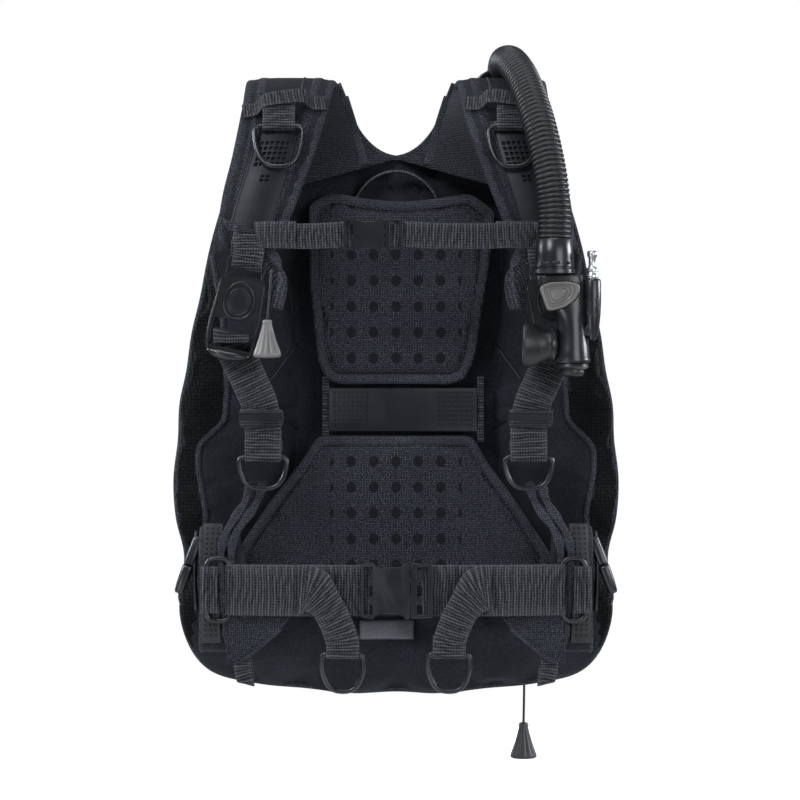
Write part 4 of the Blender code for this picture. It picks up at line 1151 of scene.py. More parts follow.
def make_lower_strap(side, word):
    """The strap from the release buckle's frame down to the ring at the side of the cell."""
    place = buckle_place(side)
    bar = place @ Vector((0, 0, FRAME_BAR))
    over = [Vector((spot.x, spot.y, 2 * bar.z - spot.z)) for spot in fold_under(bar, 0.0052, front=False)]
    ring = Vector((side * 0.131, -0.1290, -0.046))
    path = [bar + Vector((0, -0.0052, -0.006))] + over
    path += [bar + Vector((-side * 0.001, 0.0066, -0.010)), Vector((side * 0.1525, -0.1235, 0.046)),
             Vector((side * 0.1440, -0.1275, 0.028)), Vector((side * 0.1345, -0.1325, 0.006)),
             Vector((side * 0.131, -0.1332, -0.018)), Vector((side * 0.131, ring.y - RING_TURN, -0.034))]
    path += fold_under(ring, RING_TURN, front=False)
    path += [ring + Vector((0, RING_TURN + 0.0006, 0.010)), Vector((side * 0.131, -0.105, -0.030)),
             Vector((side * 0.131, -0.064, -0.040))]
    slant = place.to_3x3() @ Vector((1, 0, 0))
    across = [slant] * 14 + [Vector((1, 0, 0))] * (len(path) - 14)
    webbing = strap("lower_strap_" + word, path, across, 0.036, step=0.0025, wave=0.0003)
    bend = ("shoulder_frame_" + word, (side * 0.131, -0.133, -0.030), (side * 0.151, -0.125, 0.050))
    show(webbing, "vest", "lower_webbing_" + word, blend=bend)
    make_ring("lower_ring_" + word, ring, 0.052, 0.034, (0, 0, -1))


# ---- buckles -------------------------------------------------------------------------------------
def round_edges(piece, width=0.0009, segments=3):
    """Round a hard piece's edges, and keep its flat faces flat."""
    piece.data.shade_smooth()
    piece.data.set_sharp_from_angle(angle=math.radians(35))
    bevel(piece, width, segments, angle=35)
    return settle(piece)


def make_release_frame(side, word):
    """The shoulder buckle: a bottle-shaped frame with a raised button ring, two bars and a scooped lip."""
    place = buckle_place(side)
    body = "shoulder_frame_" + word
    outline = rounded([(-0.0225, 0.0300), (0.0225, 0.0300), (0.0245, 0.0050), (0.0255, -0.0200),
                       (0.0240, -0.0430), (0.0140, -0.0520), (-0.0140, -0.0520), (-0.0240, -0.0430),
                       (-0.0255, -0.0200), (-0.0245, 0.0050)], 0.007, 5)
    shape = prism("release_frame_" + word, outline, -0.0060, 0.0060, BUCKLE, place)
    cut(shape,
        box_piece("pocket", (-0.0198, -0.0033, -0.0066), (0.0198, 0.0031, 0.06), BUCKLE, place),
        box_piece("upper_slot", (-0.0205, -0.02, FRAME_BAR + 0.0026), (0.0205, 0.02, -0.0120), BUCKLE, place),
        box_piece("lower_slot", (-0.0205, -0.02, -0.0400), (0.0205, 0.02, FRAME_BAR - 0.0026), BUCKLE, place),
        box_piece("bar_relief", (-0.0203, -0.02, -0.0390), (0.0203, -0.0026, -0.0125), BUCKLE, place),
        box_piece("back_relief", (-0.0202, 0.0026, -0.0395), (0.0202, 0.02, -0.0128), BUCKLE, place))
    round_edges(shape, 0.0010)
    show(shape, body, "shoulder_buckle_frame_" + word)
    oval_line = [place @ Vector((0.0148 * math.cos(turn), -0.0062, 0.0080 + 0.0182 * math.sin(turn)
                                 - 0.0022 * math.cos(turn) ** 2)) for turn in even(0, 2 * math.pi, 49)[:-1]]
    show(tube("release_rim_" + word, oval_line, 0.0013, BUCKLE, closed=True, sides=12, smooth=False), body)
    inner = [place @ Vector((0.0112 * math.cos(turn), -0.0062, 0.0066 + 0.0128 * math.sin(turn)))
             for turn in even(0, 2 * math.pi, 41)[:-1]]
    show(tube("release_button_" + word, inner, 0.0008, BUCKLE, closed=True, smooth=False), body)
    dish = Matrix.Translation((0, -0.0058, 0.0066)) @ Matrix.Rotation(math.radians(90), 4, "X")
    profile = [(0, 0.0008), (0.006, 0.0010), (0.0102, 0.0004), (0.0108, -0.001), (0, -0.001)]
    place_dish = place @ dish @ Matrix.Diagonal((1, 1.12, 1, 1))
    show(turned("release_dish_" + word, profile, BUCKLE, place_dish), body)
    lip_line = [place @ Vector((x, -0.0062 - 0.0016 * math.cos(x * 70), -0.0440 - 0.0034 * math.cos(x * 62)))
                for x in even(-0.0205, 0.0205, 14)]
    lip_radii = [0.0014, 0.0040, 0.0046, 0.0040, 0.0014]
    show(tube("release_lip_" + word, lip_line, lip_radii, BUCKLE, sides=16), body)
    rail_radii = [0.0005, 0.0012, 0.0014, 0.0014, 0.0008]
    for sign, where in ((side, "outer"), (-side, "inner")):
        rail = [place @ Vector((sign * x, -0.0062, z)) for x, z in
                ((0.0216, 0.026), (0.0222, 0.005), (0.0236, -0.018), (0.0230, -0.036), (0.0200, -0.046))]
        show(tube(f"release_rail_{where}_{word}", rail, rail_radii, BUCKLE), body)
    outline = rounded([(-0.0192, 0.0500), (0.0192, 0.0500), (0.0190, -0.0060), (-0.0190, -0.0060)], 0.003)
    tongue = prism("release_tongue_" + word, outline, -0.0032, 0.0024, BUCKLE, place)
    cut(tongue, box_piece("tongue_slot", (-0.0167, -0.02, 0.0330), (0.0167, 0.02, 0.0418), BUCKLE, place))
    round_edges(tongue, 0.0008)
    show(tongue, "vest", "shoulder_buckle_tongue_" + word)


def make_ladder_lock(side, word):
    """The small sliding lock on the lower strap: a ribbed frame with a raised lifting edge."""
    low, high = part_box("ladder_lock_" + word)
    place = Matrix.Translation((side * 0.1325, (low.y + high.y) / 2, (low.z + high.z) / 2))
    half = (high.x - low.x) / 2
    outline = [(-half, 0.0085), (half, 0.0085), (half + 0.0006, -0.0050), (half - 0.002, -0.0085),
               (-half + 0.002, -0.0085), (-half - 0.0006, -0.0050)]
    shape = prism("ladder_frame_" + word, rounded(outline, 0.0022), -0.0042, 0.0042, BUCKLE, place)
    wall = 0.0022
    gap = half - wall
    cut(shape, box_piece("lock_throat", (-gap, -0.0024, -0.05), (gap, 0.0030, 0.05), BUCKLE, place))
    show(round_edges(shape, 0.0007, 2), "vest", "ladder_lock_" + word)
    for index, (z, radius) in enumerate(((0.0075, 0.0021), (-0.0030, 0.0009), (-0.0055, 0.0009))):
        ridge = [place @ Vector((x, -0.0044, z)) for x in even(-half + 0.001, half - 0.001, 5)]
        show(tube(f"ladder_ridge_{index}_{word}", ridge, radius, BUCKLE))


def make_side_release(name, body):
    """A side-release buckle: a smooth shell with scooped finger notches, sprung prongs, and webbing bars."""
    low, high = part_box(name + "_socket")
    far_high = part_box(name + "_prongs")[1]
    centre = Matrix.Translation(((low.x + far_high.x) / 2, (low.y + high.y) / 2, (low.z + high.z) / 2))
    half = (far_high.x - low.x) / 2
    tall = (high.z - low.z) / 2
    thick = (high.y - low.y) / 2
    split = half * 0.36
    scoop = half * 0.44
    middle = split - scoop * 1.30
    top = [(-half, tall * 0.93), (middle - scoop, tall)]
    top += [(middle + scoop * math.cos(turn), tall - tall * 0.24 * math.sin(turn))
            for turn in even(math.pi, 0, 11)]
    top.append((split, tall * 0.99))
    shell = prism(name + "_shell", top + [(x, -z) for x, z in reversed(top)], -thick, thick, BUCKLE, centre)

    def hollow(part, near, far, deep, high):
        return box_piece(part, (half * near, -deep, -tall * high), (half * far, deep, tall * high), BUCKLE,
                         centre)

    cut(shell, hollow("throat", -0.93, -0.68, 0.03, 0.84), hollow("mouth", -0.50, 1.0, thick * 0.56, 0.86))
    show(round_edges(shell, thick * 0.24), "vest", name + "_socket")
    seam = split + 0.0008
    outline = [(seam, tall * 0.97), (half, tall * 0.93), (half, -tall * 0.93), (seam, -tall * 0.97)]
    grip = prism(name + "_grip", rounded(outline, 0.002), -thick, thick, BUCKLE, centre)
    cut(grip, hollow("throat", 0.56, 0.86, 0.03, 0.84))
    show(round_edges(grip, thick * 0.24), body, name + "_prongs")
    for sign, where in ((1, "upper"), (-1, "lower")):
        finger = [(split + 0.004, 0.66), (split + 0.004, 0.40), (middle - scoop * 0.6, 0.44),
                  (middle - scoop * 0.9, 0.60), (middle - scoop * 0.5, 0.80), (middle + scoop * 0.6, 0.82)]
        arm = prism(f"{name}_finger_{where}", rounded([(x, sign * z * tall) for x, z in finger], 0.0020),
                    -thick * 0.46, thick * 0.46, BUCKLE, centre)
        show(round_edges(arm, 0.0008), body)
    outline = [(split + 0.004, tall * 0.14), (-half * 0.22, tall * 0.12), (-half * 0.22, -tall * 0.12),
               (split + 0.004, -tall * 0.14)]
    blade = prism(name + "_guide", rounded(outline, 0.001), -thick * 0.40, thick * 0.40, BUCKLE, centre)
    show(round_edges(blade, 0.0006, 2), body)


# ---- belts ---------------------------------------------------------------------------------------
def make_sternum_strap():
    make_side_release("sternum_buckle", "sternum_prongs")
    y, z = -0.152, 0.172

    def bow(x):
        """The strap falls back round the chest beyond its straight middle."""
        return y + 0.60 * max(0.0, abs(x) - 0.055) ** 1.4

    for side, word in SIDES:
        low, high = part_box("sternum_webbing_" + word)
        near, far = (low.x - 0.005, high.x) if side > 0 else (high.x + 0.002, low.x)
        path = [(x, bow(x), z - 0.0022 * math.sin(math.pi * step / 15) + 0.001)
                for step, x in enumerate(even(near, far, 16))]
        webbing = strap("sternum_strap_" + word, path, (0, 0, 1), 0.025, step=0.003, wave=0.0006)
        if side > 0:
            bend = ("vest", (0.012, y, z), (0.120, y, z))
            show(webbing, "sternum_prongs", "sternum_webbing_" + word, blend=bend)
        else:
            show(webbing, "vest", "sternum_webbing_" + word)
        stub = [(side * x, bow(x) + shift, z + 0.0005) for x, shift in
                ((0.098, -0.0026), (0.112, -0.0030), (0.128, -0.0026), (0.1385, 0.0006), (0.1385, 0.0090))]
        show(strap("sternum_keeper_" + word, stub, (0, 0, 1), 0.026, step=0.003, thick=0.0016, wave=0.0004))
        box_stitch("sternum_stitch_" + word, (side * 0.117, bow(0.117) - 0.0045, z + 0.0005),
                   (1, 0.5 * side, 0), (0, 0, 1), (0, -1, 0), 0.017, 0.018)


BELT_FRONT = -0.150
WAIST_Z = -0.177
BAR_X = 0.163


def belt_y(x, front):
    return front + 0.024 * (x / 0.160) ** 2


def make_waist_belt():
    make_side_release("waist_buckle", "waist_prongs")
    for side, word in SIDES:
        bar = Vector((side * BAR_X, belt_y(BAR_X, BELT_FRONT) - 0.0040, WAIST_Z))
        ring = Vector((side * 0.052, BELT_FRONT - 0.0120, -0.238))
        turns = [bar + Vector((side * 0.0042 * math.sin(turn), -0.0042 * math.cos(turn), 0))
                 for turn in even(0, math.pi, 11)]
        outer = [Vector((side * x, belt_y(x, BELT_FRONT - 0.0105) + 0.0025 * (x - 0.05) / 0.1, WAIST_Z))
                 for x in (0.062, 0.075, 0.090, 0.110, 0.135, 0.150)]
        inner = [Vector((side * x, belt_y(x, BELT_FRONT), WAIST_Z))
                 for x in (0.150, 0.135, 0.100, 0.065, 0.026)]
        wrap = strap("waist_strap_" + word, outer + turns + inner, (0, 0, 1), 0.050, step=0.0028, wave=0.0006)
        if side > 0:
            bend = ("vest", (0.040, BELT_FRONT, WAIST_Z), (0.150, BELT_FRONT, WAIST_Z))
            show(wrap, "waist_prongs", "waist_webbing_" + word, blend=bend)
        else:
            show(wrap, "vest", "waist_webbing_" + word)
        make_belt_tail(side, word, ring)
        make_ring("waist_ring_" + word, ring, 0.046, 0.040, (0, 0, -1))
        make_side_ring(side, word, bar.y)


def make_belt_tail(side, word, ring):
    """The belt's end: turned down on a slant from the belt, narrowed, and folded round its ring."""
    front = BELT_FRONT - 0.0125
    stops = [(0.094, front + 0.0040, WAIST_Z + 0.0020), (0.082, front + 0.0008, WAIST_Z),
             (0.071, front - 0.0008, WAIST_Z - 0.0100), (0.061, front - 0.0008, -0.2030),
             (0.0535, ring.y - RING_TURN, -0.2220)]
    path = [Vector((side * x, y, z)) for x, y, z in stops] + [ring + Vector((0, -RING_TURN, 0.004))]
    path += fold_under(ring, RING_TURN, front=False)[1:]
    path += [ring + Vector((0, RING_TURN, 0.008)), ring + Vector((0, RING_TURN, 0.018))]
    count = len(path)
    slants = [(0, 1), (0.30, 1), (0.75, 0.8), (1, 0.45), (1, 0.12)]
    across = [Vector((x, 0, -side * z)) for x, z in slants] + [Vector((1, 0, 0))] * (count - 5)
    widths = [0.048, 0.048, 0.047, 0.040, 0.034] + [0.032] * (count - 5)
    show(strap("waist_tail_" + word, path, across, widths, step=0.0026, wave=0.0006))


def make_side_ring(side, word, y):
    """The oval ring that ties the belt to the hip."""
    low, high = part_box("waist_side_ring_" + word)
    middle = (low + high) / 2
    half_x = (high.x - low.x) / 2 - RING_WIRE
    half_z = (high.z - low.z) / 2 - RING_WIRE
    path = [Vector((middle.x + half_x * signed_power(math.cos(turn), 0.55), y,
                    middle.z + half_z * signed_power(math.sin(turn), 0.45)))
            for turn in even(0, 2 * math.pi, 45)[:-1]]
    path = resample(smoothed(path, 2, closed=True), 0.003, closed=True)[:-1]
    ring = tube("hip_ring_" + word, path, RING_WIRE, BUCKLE, closed=True, sides=16, smooth=False)
    show(ring, "vest", "waist_side_ring_" + word)
    hip = [Vector((middle.x + side * (half_x + 0.0042 * math.cos(turn)), y - 0.0042 * math.sin(turn),
                   middle.z))
           for turn in even(-0.5 * math.pi, 0.9 * math.pi, 10)]
    hip = [Vector((middle.x - side * 0.004, y + 0.0060, middle.z))] + hip
    hip.append(Vector((middle.x + side * (half_x - 0.012), y - 0.0035, middle.z)))
    show(strap("hip_loop_" + word, hip, (0, 0, 1), 0.046, step=0.0025, wave=0.0003))


# ---- backplate -----------------------------------------------------------------------------------
def slot_shape(x, z, half_wide, half_tall, radius):
    """A rounded rectangle's outline round (x, z)."""
    corners = ((-1, -1), (1, -1), (1, 1), (-1, 1))
    return rounded([(x + a * half_wide, z + b * half_tall) for a, b in corners], radius, 4)


def make_backplate():
    """The moulded plate the tank lies on: rounded corners, band slots, windows and shallow pockets."""
    low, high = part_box("backplate")
    half = high.x
    outline = [(-0.050, high.z), (-0.020, high.z - 0.006), (0.020, high.z - 0.006), (0.050, high.z),
               (half, high.z - 0.030), (half - 0.006, 0.0), (half, low.z + 0.030), (0.052, low.z),
               (-0.052, low.z), (-half, low.z + 0.030), (-half + 0.006, 0.0), (-half, high.z - 0.030)]
    plate = prism("tank_plate", rounded(outline, 0.009, 4), low.y, high.y, SMOOTH_PLATE)
    through = [slot_shape(x, 0.050, 0.0042, 0.0282, 0.003) for x in (-0.054, 0.054)]
    through += [slot_shape(x, -0.090, 0.012, 0.040, 0.005) for x in (-0.022, 0.022)]
    pockets = [slot_shape(0.0, z, 0.032, 0.0125, 0.004) for z in (0.118, 0.084, 0.050, 0.016, -0.018)]
    pockets += [slot_shape(x, z, 0.008, 0.014, 0.003)
                for x in (-0.051, 0.051) for z in (-0.046, -0.082, -0.118)]
    cut(plate, *[prism("slot", shape, low.y - 0.01, high.y + 0.01, SMOOTH_PLATE) for shape in through],
        *[prism("pocket", shape, high.y - 0.0035, high.y + 0.01, SMOOTH_PLATE) for shape in pockets])
    plate.data.shade_smooth()
    plate.data.set_sharp_from_angle(angle=math.radians(35))
    bevel(plate, 0.0010, 2)
    show(plate, "vest", "backplate")


# ---- tank band, centre band, handle and label ----------------------------------------------------
def make_tank_band():
    """The band round the tank, with its cam buckle and lever."""
    low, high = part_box("tank_band")
    radius = high.x - 0.0010
    centre_y = high.y - high.x
    z = (low.z + high.z) / 2
    start = math.radians(-56)
    loop = [(radius * math.cos(turn), centre_y + radius * math.sin(turn), z)
            for turn in even(start, math.pi - start, 33)]
    path = [(0.030, low.y + 0.001, z), (0.0525, low.y + 0.001, z), (0.0545, -0.004, z)] + loop
    path += [(-0.0545, -0.004, z), (-0.0525, low.y + 0.001, z), (-0.030, low.y + 0.001, z)]
    show(strap("tank_band_webbing", path, (0, 0, 1), 0.050, thick=0.0019, step=0.004), "vest", "tank_band")
    tail = [(radius * math.cos(turn) * 1.035, centre_y + radius * 1.035 * math.sin(turn), z)
            for turn in even(math.radians(-38), math.radians(-14), 8)]
    show(strap("tank_band_tail", tail, (0, 0, 1), 0.048, thick=0.0019, step=0.004, wave=0.0006))
    make_cam_buckle(z)
    make_cam_lever()


def make_cam_buckle(z):
    """The cam buckle's flat frame with two band slots, and the two ears that hold the lever's pin."""
    low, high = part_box("cam_buckle")
    place = Matrix.Translation((low.x, (low.y + high.y) / 2, z))
    upright = Matrix(((0, 1, 0, 0), (1, 0, 0, 0), (0, 0, 1, 0), (0, 0, 0, 1)))
    level = Matrix(((0, 0, 1, 0), (1, 0, 0, 0), (0, 1, 0, 0), (0, 0, 0, 1)))
    outline = rounded([(-0.0300, 0.0320), (0.0300, 0.0320), (0.0300, -0.0320), (-0.0300, -0.0320)], 0.005)
    plate = prism("cam_plate", outline, 0.0, 0.0058, BUCKLE, place @ upright)
    cut(plate, *[box_piece("band_slot", (-0.01, y - 0.0028, -0.026), (0.02, y + 0.0028, 0.026), BUCKLE, place)
                 for y in (-0.0215, 0.0215)])
    show(round_edges(plate, 0.0010), "vest", "cam_buckle")
    ear = [(-0.026, 0.004), (-0.026, 0.012), (-0.021, 0.0215), (-0.013, 0.0215), (-0.006, 0.012),
           (-0.004, 0.004)]
    for index, rise in enumerate((0.022 - z, 0.078 - z)):
        lifted = place @ Matrix.Translation((0, 0, rise)) @ level
        shape = prism(f"cam_ear_{index}", rounded(ear, 0.003), -0.0028, 0.0028, BUCKLE, lifted)
        show(round_edges(shape, 0.0006, 2))


def make_cam_lever():
    """The cam lever: a bowed handle with cast ribs on its back."""
    low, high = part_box("cam_lever")
    steps = 22
    ring = 14
    points = []
    for i in range(steps):
        share = i / (steps - 1)
        y = low.y + 0.0004 + (high.y - low.y - 0.0008) * share
        bow = 0.0020 * math.sin(math.pi * share)
        thick = 0.0048 - 0.0022 * share
        middle = (low.x + high.x) / 2 - 0.0006 + bow * 0.6 - 0.0022 * share
        tall = ((high.z - low.z) / 2 - 0.0004) * (1 - 0.10 * share ** 4)
        if i in (0, steps - 1):
            thick *= 0.55
            tall *= 0.94
        for a, b in oval(tall, thick, ring, 0.45):
            points.append((middle + b, y, (low.z + high.z) / 2 + a))
    lever = subdivide(solid("cam_handle", points, loft_faces(steps, ring), BUCKLE))
    show(lever, "cam_lever", "cam_lever")
    for index, z in enumerate(even(low.z + 0.010, high.z - 0.010, 4)):
        rib = [Vector((high.x - 0.0026 - 0.0020 * share + 0.0012 * math.sin(math.pi * share),
                       low.y + 0.014 + (high.y - low.y - 0.026) * share, z)) for share in even(0, 1, 8)]
        show(tube(f"cam_rib_{index}", rib, [0.0004, 0.0013, 0.0013, 0.0004], BUCKLE), "cam_lever")


def make_centre_band():
    """The moulded band between the pads: square studs at both ends, a smooth middle, webbing at its ends."""
    low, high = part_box("centre_band")
    pitch, stud, columns = 0.0046, 0.0027, 8
    studs = cells(low.x + 0.0045, pitch, stud, columns)
    studs += cells(high.x - 0.0045 - 7.6 * pitch, pitch, stud, columns)
    middle = even(studs[2 * columns - 1], studs[2 * columns], 9)[1:-1]
    us = sorted([low.x + 0.0005] + studs + middle + [high.x - 0.0005])
    vs = [high.z - 0.0004] + cells(high.z - 0.0042, -pitch, -stud, 8) + [low.z + 0.0004]
    starts = {us.index(start) for start in studs[::2]}

    def place(u, v, lift):
        return Vector((u, torso_curve(u) - 0.0302 + 0.0016 * (abs(v) / 0.022) ** 3 - lift, v))

    def depth(i, j):
        return -0.0010 if i in starts and j % 2 else 0.0

    band = lattice("centre_band_plate", us, vs, depth, place, 0.0120, SMOOTH_PLATE)
    show(bevel(band, 0.0003), "vest", "centre_band")
    for index, x in enumerate((low.x - 0.0030, high.x + 0.0030)):
        strip = [Vector((x, torso_curve(x) - 0.0262 + 0.0012 * math.cos(z * 90), z))
                 for z in even(0.034, -0.032, 10)]
        show(strap(f"centre_band_tape_{index}", strip, (1, 0, 0), 0.0066, step=0.004, thick=0.0016))


def make_handle():
    """The grab handle: webbing folded double round a soft core, standing behind the neck."""
    low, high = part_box("carry_handle")
    y = (low.y + high.y) / 2
    half = high.x - 0.001
    path = [(half, y, low.z), (half, y, 0.172)]
    path += [(half * math.cos(turn), y, 0.190 + (high.z - 0.191) * math.sin(turn))
             for turn in even(0, math.pi, 19)]
    path += [(-half, y, 0.172), (-half, y, low.z)]
    widths = [0.0118, 0.0118, 0.0100, 0.0100, 0.0118, 0.0118]
    webbing = strap("grab_handle", path, (0, 1, 0), widths, thick=0.0022, step=0.004, wave=0.0004)
    show(webbing, "vest", "carry_handle")


def make_label(cell):
    """The sewn size label at the bottom of the cell, left blank, with stitched edges."""
    tree = BVHTree.FromObject(cell, bpy.context.evaluated_depsgraph_get())
    columns, rows = even(-0.037, 0.018, 19), even(-0.2145, -0.2335, 9)
    spots = []
    for lift in (0.0016, 0.0004):
        for z in rows:
            for x in columns:
                hit = on_surface(tree, x, z)
                spots.append(Vector((x, (hit.y if hit else -0.03) - lift, z)))
    label = solid("size_label", spots, sheet_faces(len(rows), len(columns)), LABEL)
    show(label)
    border = sheet_border(len(rows), len(columns))
    stitches("size_label_stitches", [spots[index] for index in border] + [spots[border[0]]], (0, -0.0004, 0))


# ---- hose and inflator ---------------------------------------------------------------------------
HOSE_LINE = [(0.109, 0.062, 0.305), (0.109, 0.053, 0.331), (0.110, 0.022, 0.3495), (0.112, -0.020, 0.3525),
             (0.118, -0.062, 0.346), (0.128, -0.100, 0.325), (0.140, -0.1345, 0.286), (0.150, -0.1530, 0.240),
             (0.155, -0.159, 0.200), (0.155, -0.160, 0.162)]
HOSE_RADIUS = 0.0164
HOSE_PITCH = 0.0049
PIVOT = Vector((0.155, -0.160, 0.195))
STEM_X = 0.172              # middle of the inflator's stem
INLET_X = 0.192             # middle of the inlet barrel beside it


def make_hose():
    """The corrugated hose: round crests with narrow valleys between them, one ring of each fold at a time."""
    line = resample(curve_through(HOSE_LINE, 0.002), HOSE_PITCH / 10)
    points = []
    sides = 28
    first = Vector((1, 0, 0))
    for index, centre in enumerate(line):
        tangent = (line[min(index + 1, len(line) - 1)] - line[max(index - 1, 0)]).normalized()
        across = (first - tangent * first.dot(tangent)).normalized()
        out = tangent.cross(across)
        fold = abs(math.sin(math.pi * index / 10)) ** 0.55
        radius = HOSE_RADIUS * (0.835 + 0.165 * fold)
        for k in range(sides):
            turn = 2 * math.pi * k / sides
            points.append(centre + (across * math.cos(turn) + out * math.sin(turn)) * radius)
    hose = solid("corrugated_hose", points, loft_faces(len(line), sides), RUBBER)
    show(hose, "vest", "inflator_hose", blend=("inflator", (0.148, -0.146, 0.246), (0.155, -0.160, 0.170)))


def make_cuff():
    """The moulded cuff that clamps the hose: a flared sleeve with a window slot in its lower part."""
    top = 0.162
    profile = [(0.0120, top - 0.0120), (0.0152, top + 0.0050), (0.0166, top + 0.0058), (0.0178, top + 0.0046),
               (0.0186, top - 0.0100), (0.0194, top - 0.0215), (0.0184, top - 0.0222), (0.0184, top - 0.0236),
               (0.0200, top - 0.0243), (0.0202, top - 0.0280), (0.0190, top - 0.0290), (0.0120, top - 0.0290)]
    place = Matrix.Translation((PIVOT.x, PIVOT.y, 0))
    show(turned("hose_cuff_sleeve", profile, BUCKLE, place, sides=48), "inflator", "hose_cuff")
    for index, turn in enumerate((-118, -86, -54)):
        line = [place @ Vector((0.0192 * math.cos(t), 0.0192 * math.sin(t), top - 0.0180))
                for t in even(math.radians(turn - 11), math.radians(turn + 11), 6)]
        show(tube(f"cuff_window_{index}", line, 0.0016, FILM), "inflator", slot="buckle_plastic")


def make_inflator_body():
    """The inflator's head, which narrows to a waist, its flared foot, and the inlet barrel beside it."""
    y = PIVOT.y
    rows = []
    sides = 36
    profile = [(0.1322, 0.0205, 0.0120, 0.1595), (0.1318, 0.0228, 0.0132, 0.1605),
               (0.1270, 0.0236, 0.0137, 0.1608), (0.1180, 0.0232, 0.0138, 0.1618),
               (0.1080, 0.0205, 0.0138, 0.1650), (0.0990, 0.0172, 0.0138, 0.1690),
               (0.0900, 0.0150, 0.0140, 0.1712), (0.0780, 0.0146, 0.0146, 0.1722),
               (0.0660, 0.0158, 0.0158, 0.1722), (0.0560, 0.0172, 0.0172, 0.1720),
               (0.0490, 0.0176, 0.0176, 0.1720), (0.0462, 0.0170, 0.0170, 0.1720),
               (0.0458, 0.0150, 0.0150, 0.1720)]
    for z, half_x, half_y, x in curve_through([Vector(row) for row in profile], 0.0018):
        square = 0.62 + 0.38 * min(1.0, max(0.0, (0.118 - z) / 0.03))
        for k in range(sides):
            turn = 2 * math.pi * k / sides
            rows.append((x + half_x * signed_power(math.cos(turn), square),
                         y + half_y * signed_power(math.sin(turn), square), z))
    head = solid("inflator_head", rows, loft_faces(len(rows) // sides, sides), BUCKLE)
    recess = rounded(button_outline(1.05), 0.003, 3)
    stem = Matrix.Translation((STEM_X, y, 0))
    bore = [(0, 0.030), (0.0128, 0.030), (0.0128, 0.0565), (0, 0.0565)]
    cut(head, prism("recess", recess, y - 0.03, y - 0.0060, BUCKLE), turned("bore", bore, BUCKLE, stem))
    head.data.shade_smooth()
    head.data.set_sharp_from_angle(angle=math.radians(40))
    show(head, "inflator", "inflator_body")
    foot_ring = [(0.0160, 0.0474), (0.0180, 0.0472), (0.0184, 0.0488), (0.0180, 0.0504), (0.0160, 0.0502)]
    show(turned("foot_ring", foot_ring, BUCKLE, stem), "inflator")
    make_inlet_barrel(y)


def make_inlet_barrel(y):
    """The barrel that the low-pressure hose feeds, the web behind it, and its three drop-shaped windows."""
    barrel = [(0, 0.1288), (0.0058, 0.1288), (0.0078, 0.1280), (0.0086, 0.1262), (0.0088, 0.1080),
              (0.0082, 0.0940), (0.0066, 0.0780), (0.0040, 0.0690), (0, 0.0670)]
    place = Matrix.Translation((INLET_X, y - 0.002, 0))
    show(turned("inlet_barrel", barrel, BUCKLE, place, sides=32), "inflator")
    web_line = [(0.1800, y + 0.0010, 0.1235), (0.1830, y, 0.1050), (0.1822, y, 0.0860), (0.1802, y, 0.0700),
                (0.1800, y, 0.0560)]
    web = swept("barrel_web", curve_through(web_line, 0.004),
                lambda share, width: oval(0.0085 - 0.004 * share, 0.0056, square=0.8), BUCKLE)
    show(web, "inflator")
    windows = [(0.1925, 0.1010, 0.0034, 0.0088, 0.45), (0.1878, 0.0790, 0.0026, 0.0058, 0.40),
               (0.1850, 0.0655, 0.0020, 0.0042, 0.35)]
    for index, (x, z, half_wide, half_tall, lean) in enumerate(windows):
        tip = Matrix.Translation((x, y - 0.0098 + 0.0018 * index, z)) @ Matrix.Rotation(lean, 4, "Y")
        drop = [tip @ Vector((half_wide * math.cos(t) * (1 - 0.35 * math.sin(t)), 0, half_tall * math.sin(t)))
                for t in even(0, 2 * math.pi, 25)[:-1]]
        rim = tube(f"barrel_window_rim_{index}", drop, 0.0008, BUCKLE, closed=True, sides=8, smooth=False)
        show(rim, "inflator")
        glass = solid(f"barrel_window_{index}", drop + [spot + Vector((0, 0.003, 0)) for spot in drop],
                      loft_faces(2, len(drop)), FILM, smooth=False)
        show(glass, "inflator", slot="buckle_plastic")


def button_outline(scale):
    """The inflate button: a rounded triangle with its point down and towards the wearer's middle."""
    corners = [(0.1392, 0.1205), (0.1500, 0.1252), (0.1690, 0.1258), (0.1792, 0.1232), (0.1800, 0.1165),
               (0.1748, 0.1072), (0.1640, 0.0998), (0.1508, 0.0966), (0.1470, 0.0980)]
    middle = Vector((0.160, 0.113))
    return [tuple(middle + (Vector(corner) - middle) * scale) for corner in corners]


def make_inflate_button():
    """The grey button: a shallow dish with a few concentric ridges that follow its outline."""
    face = PIVOT.y - 0.0140
    rings = [(1.0, 0.0045), (1.0, -0.0018), (0.965, -0.0030), (0.90, -0.0032), (0.80, -0.0026),
             (0.77, -0.0033), (0.74, -0.0024), (0.64, -0.0021), (0.61, -0.0029), (0.58, -0.0019),
             (0.46, -0.0018), (0.43, -0.0026), (0.40, -0.0017), (0.20, -0.0014)]
    outline = rounded(button_outline(0.985), 0.004, 5)
    centre = Vector((0.157, 0.1145))
    points = []
    for scale, depth in rings:
        for spot in outline:
            flat = centre + (Vector(spot) - centre) * scale
            bow = 0.0010 * math.sin((flat.x - 0.139) / 0.041 * math.pi)
            points.append((flat.x, face + depth + bow - 0.0008, flat.y))
    button = solid("inflate_button_cap", points, loft_faces(len(rings), len(outline)), GREY)
    button.data.set_sharp_from_angle(angle=math.radians(50))
    show(button, "inflate_button", "inflate_button")


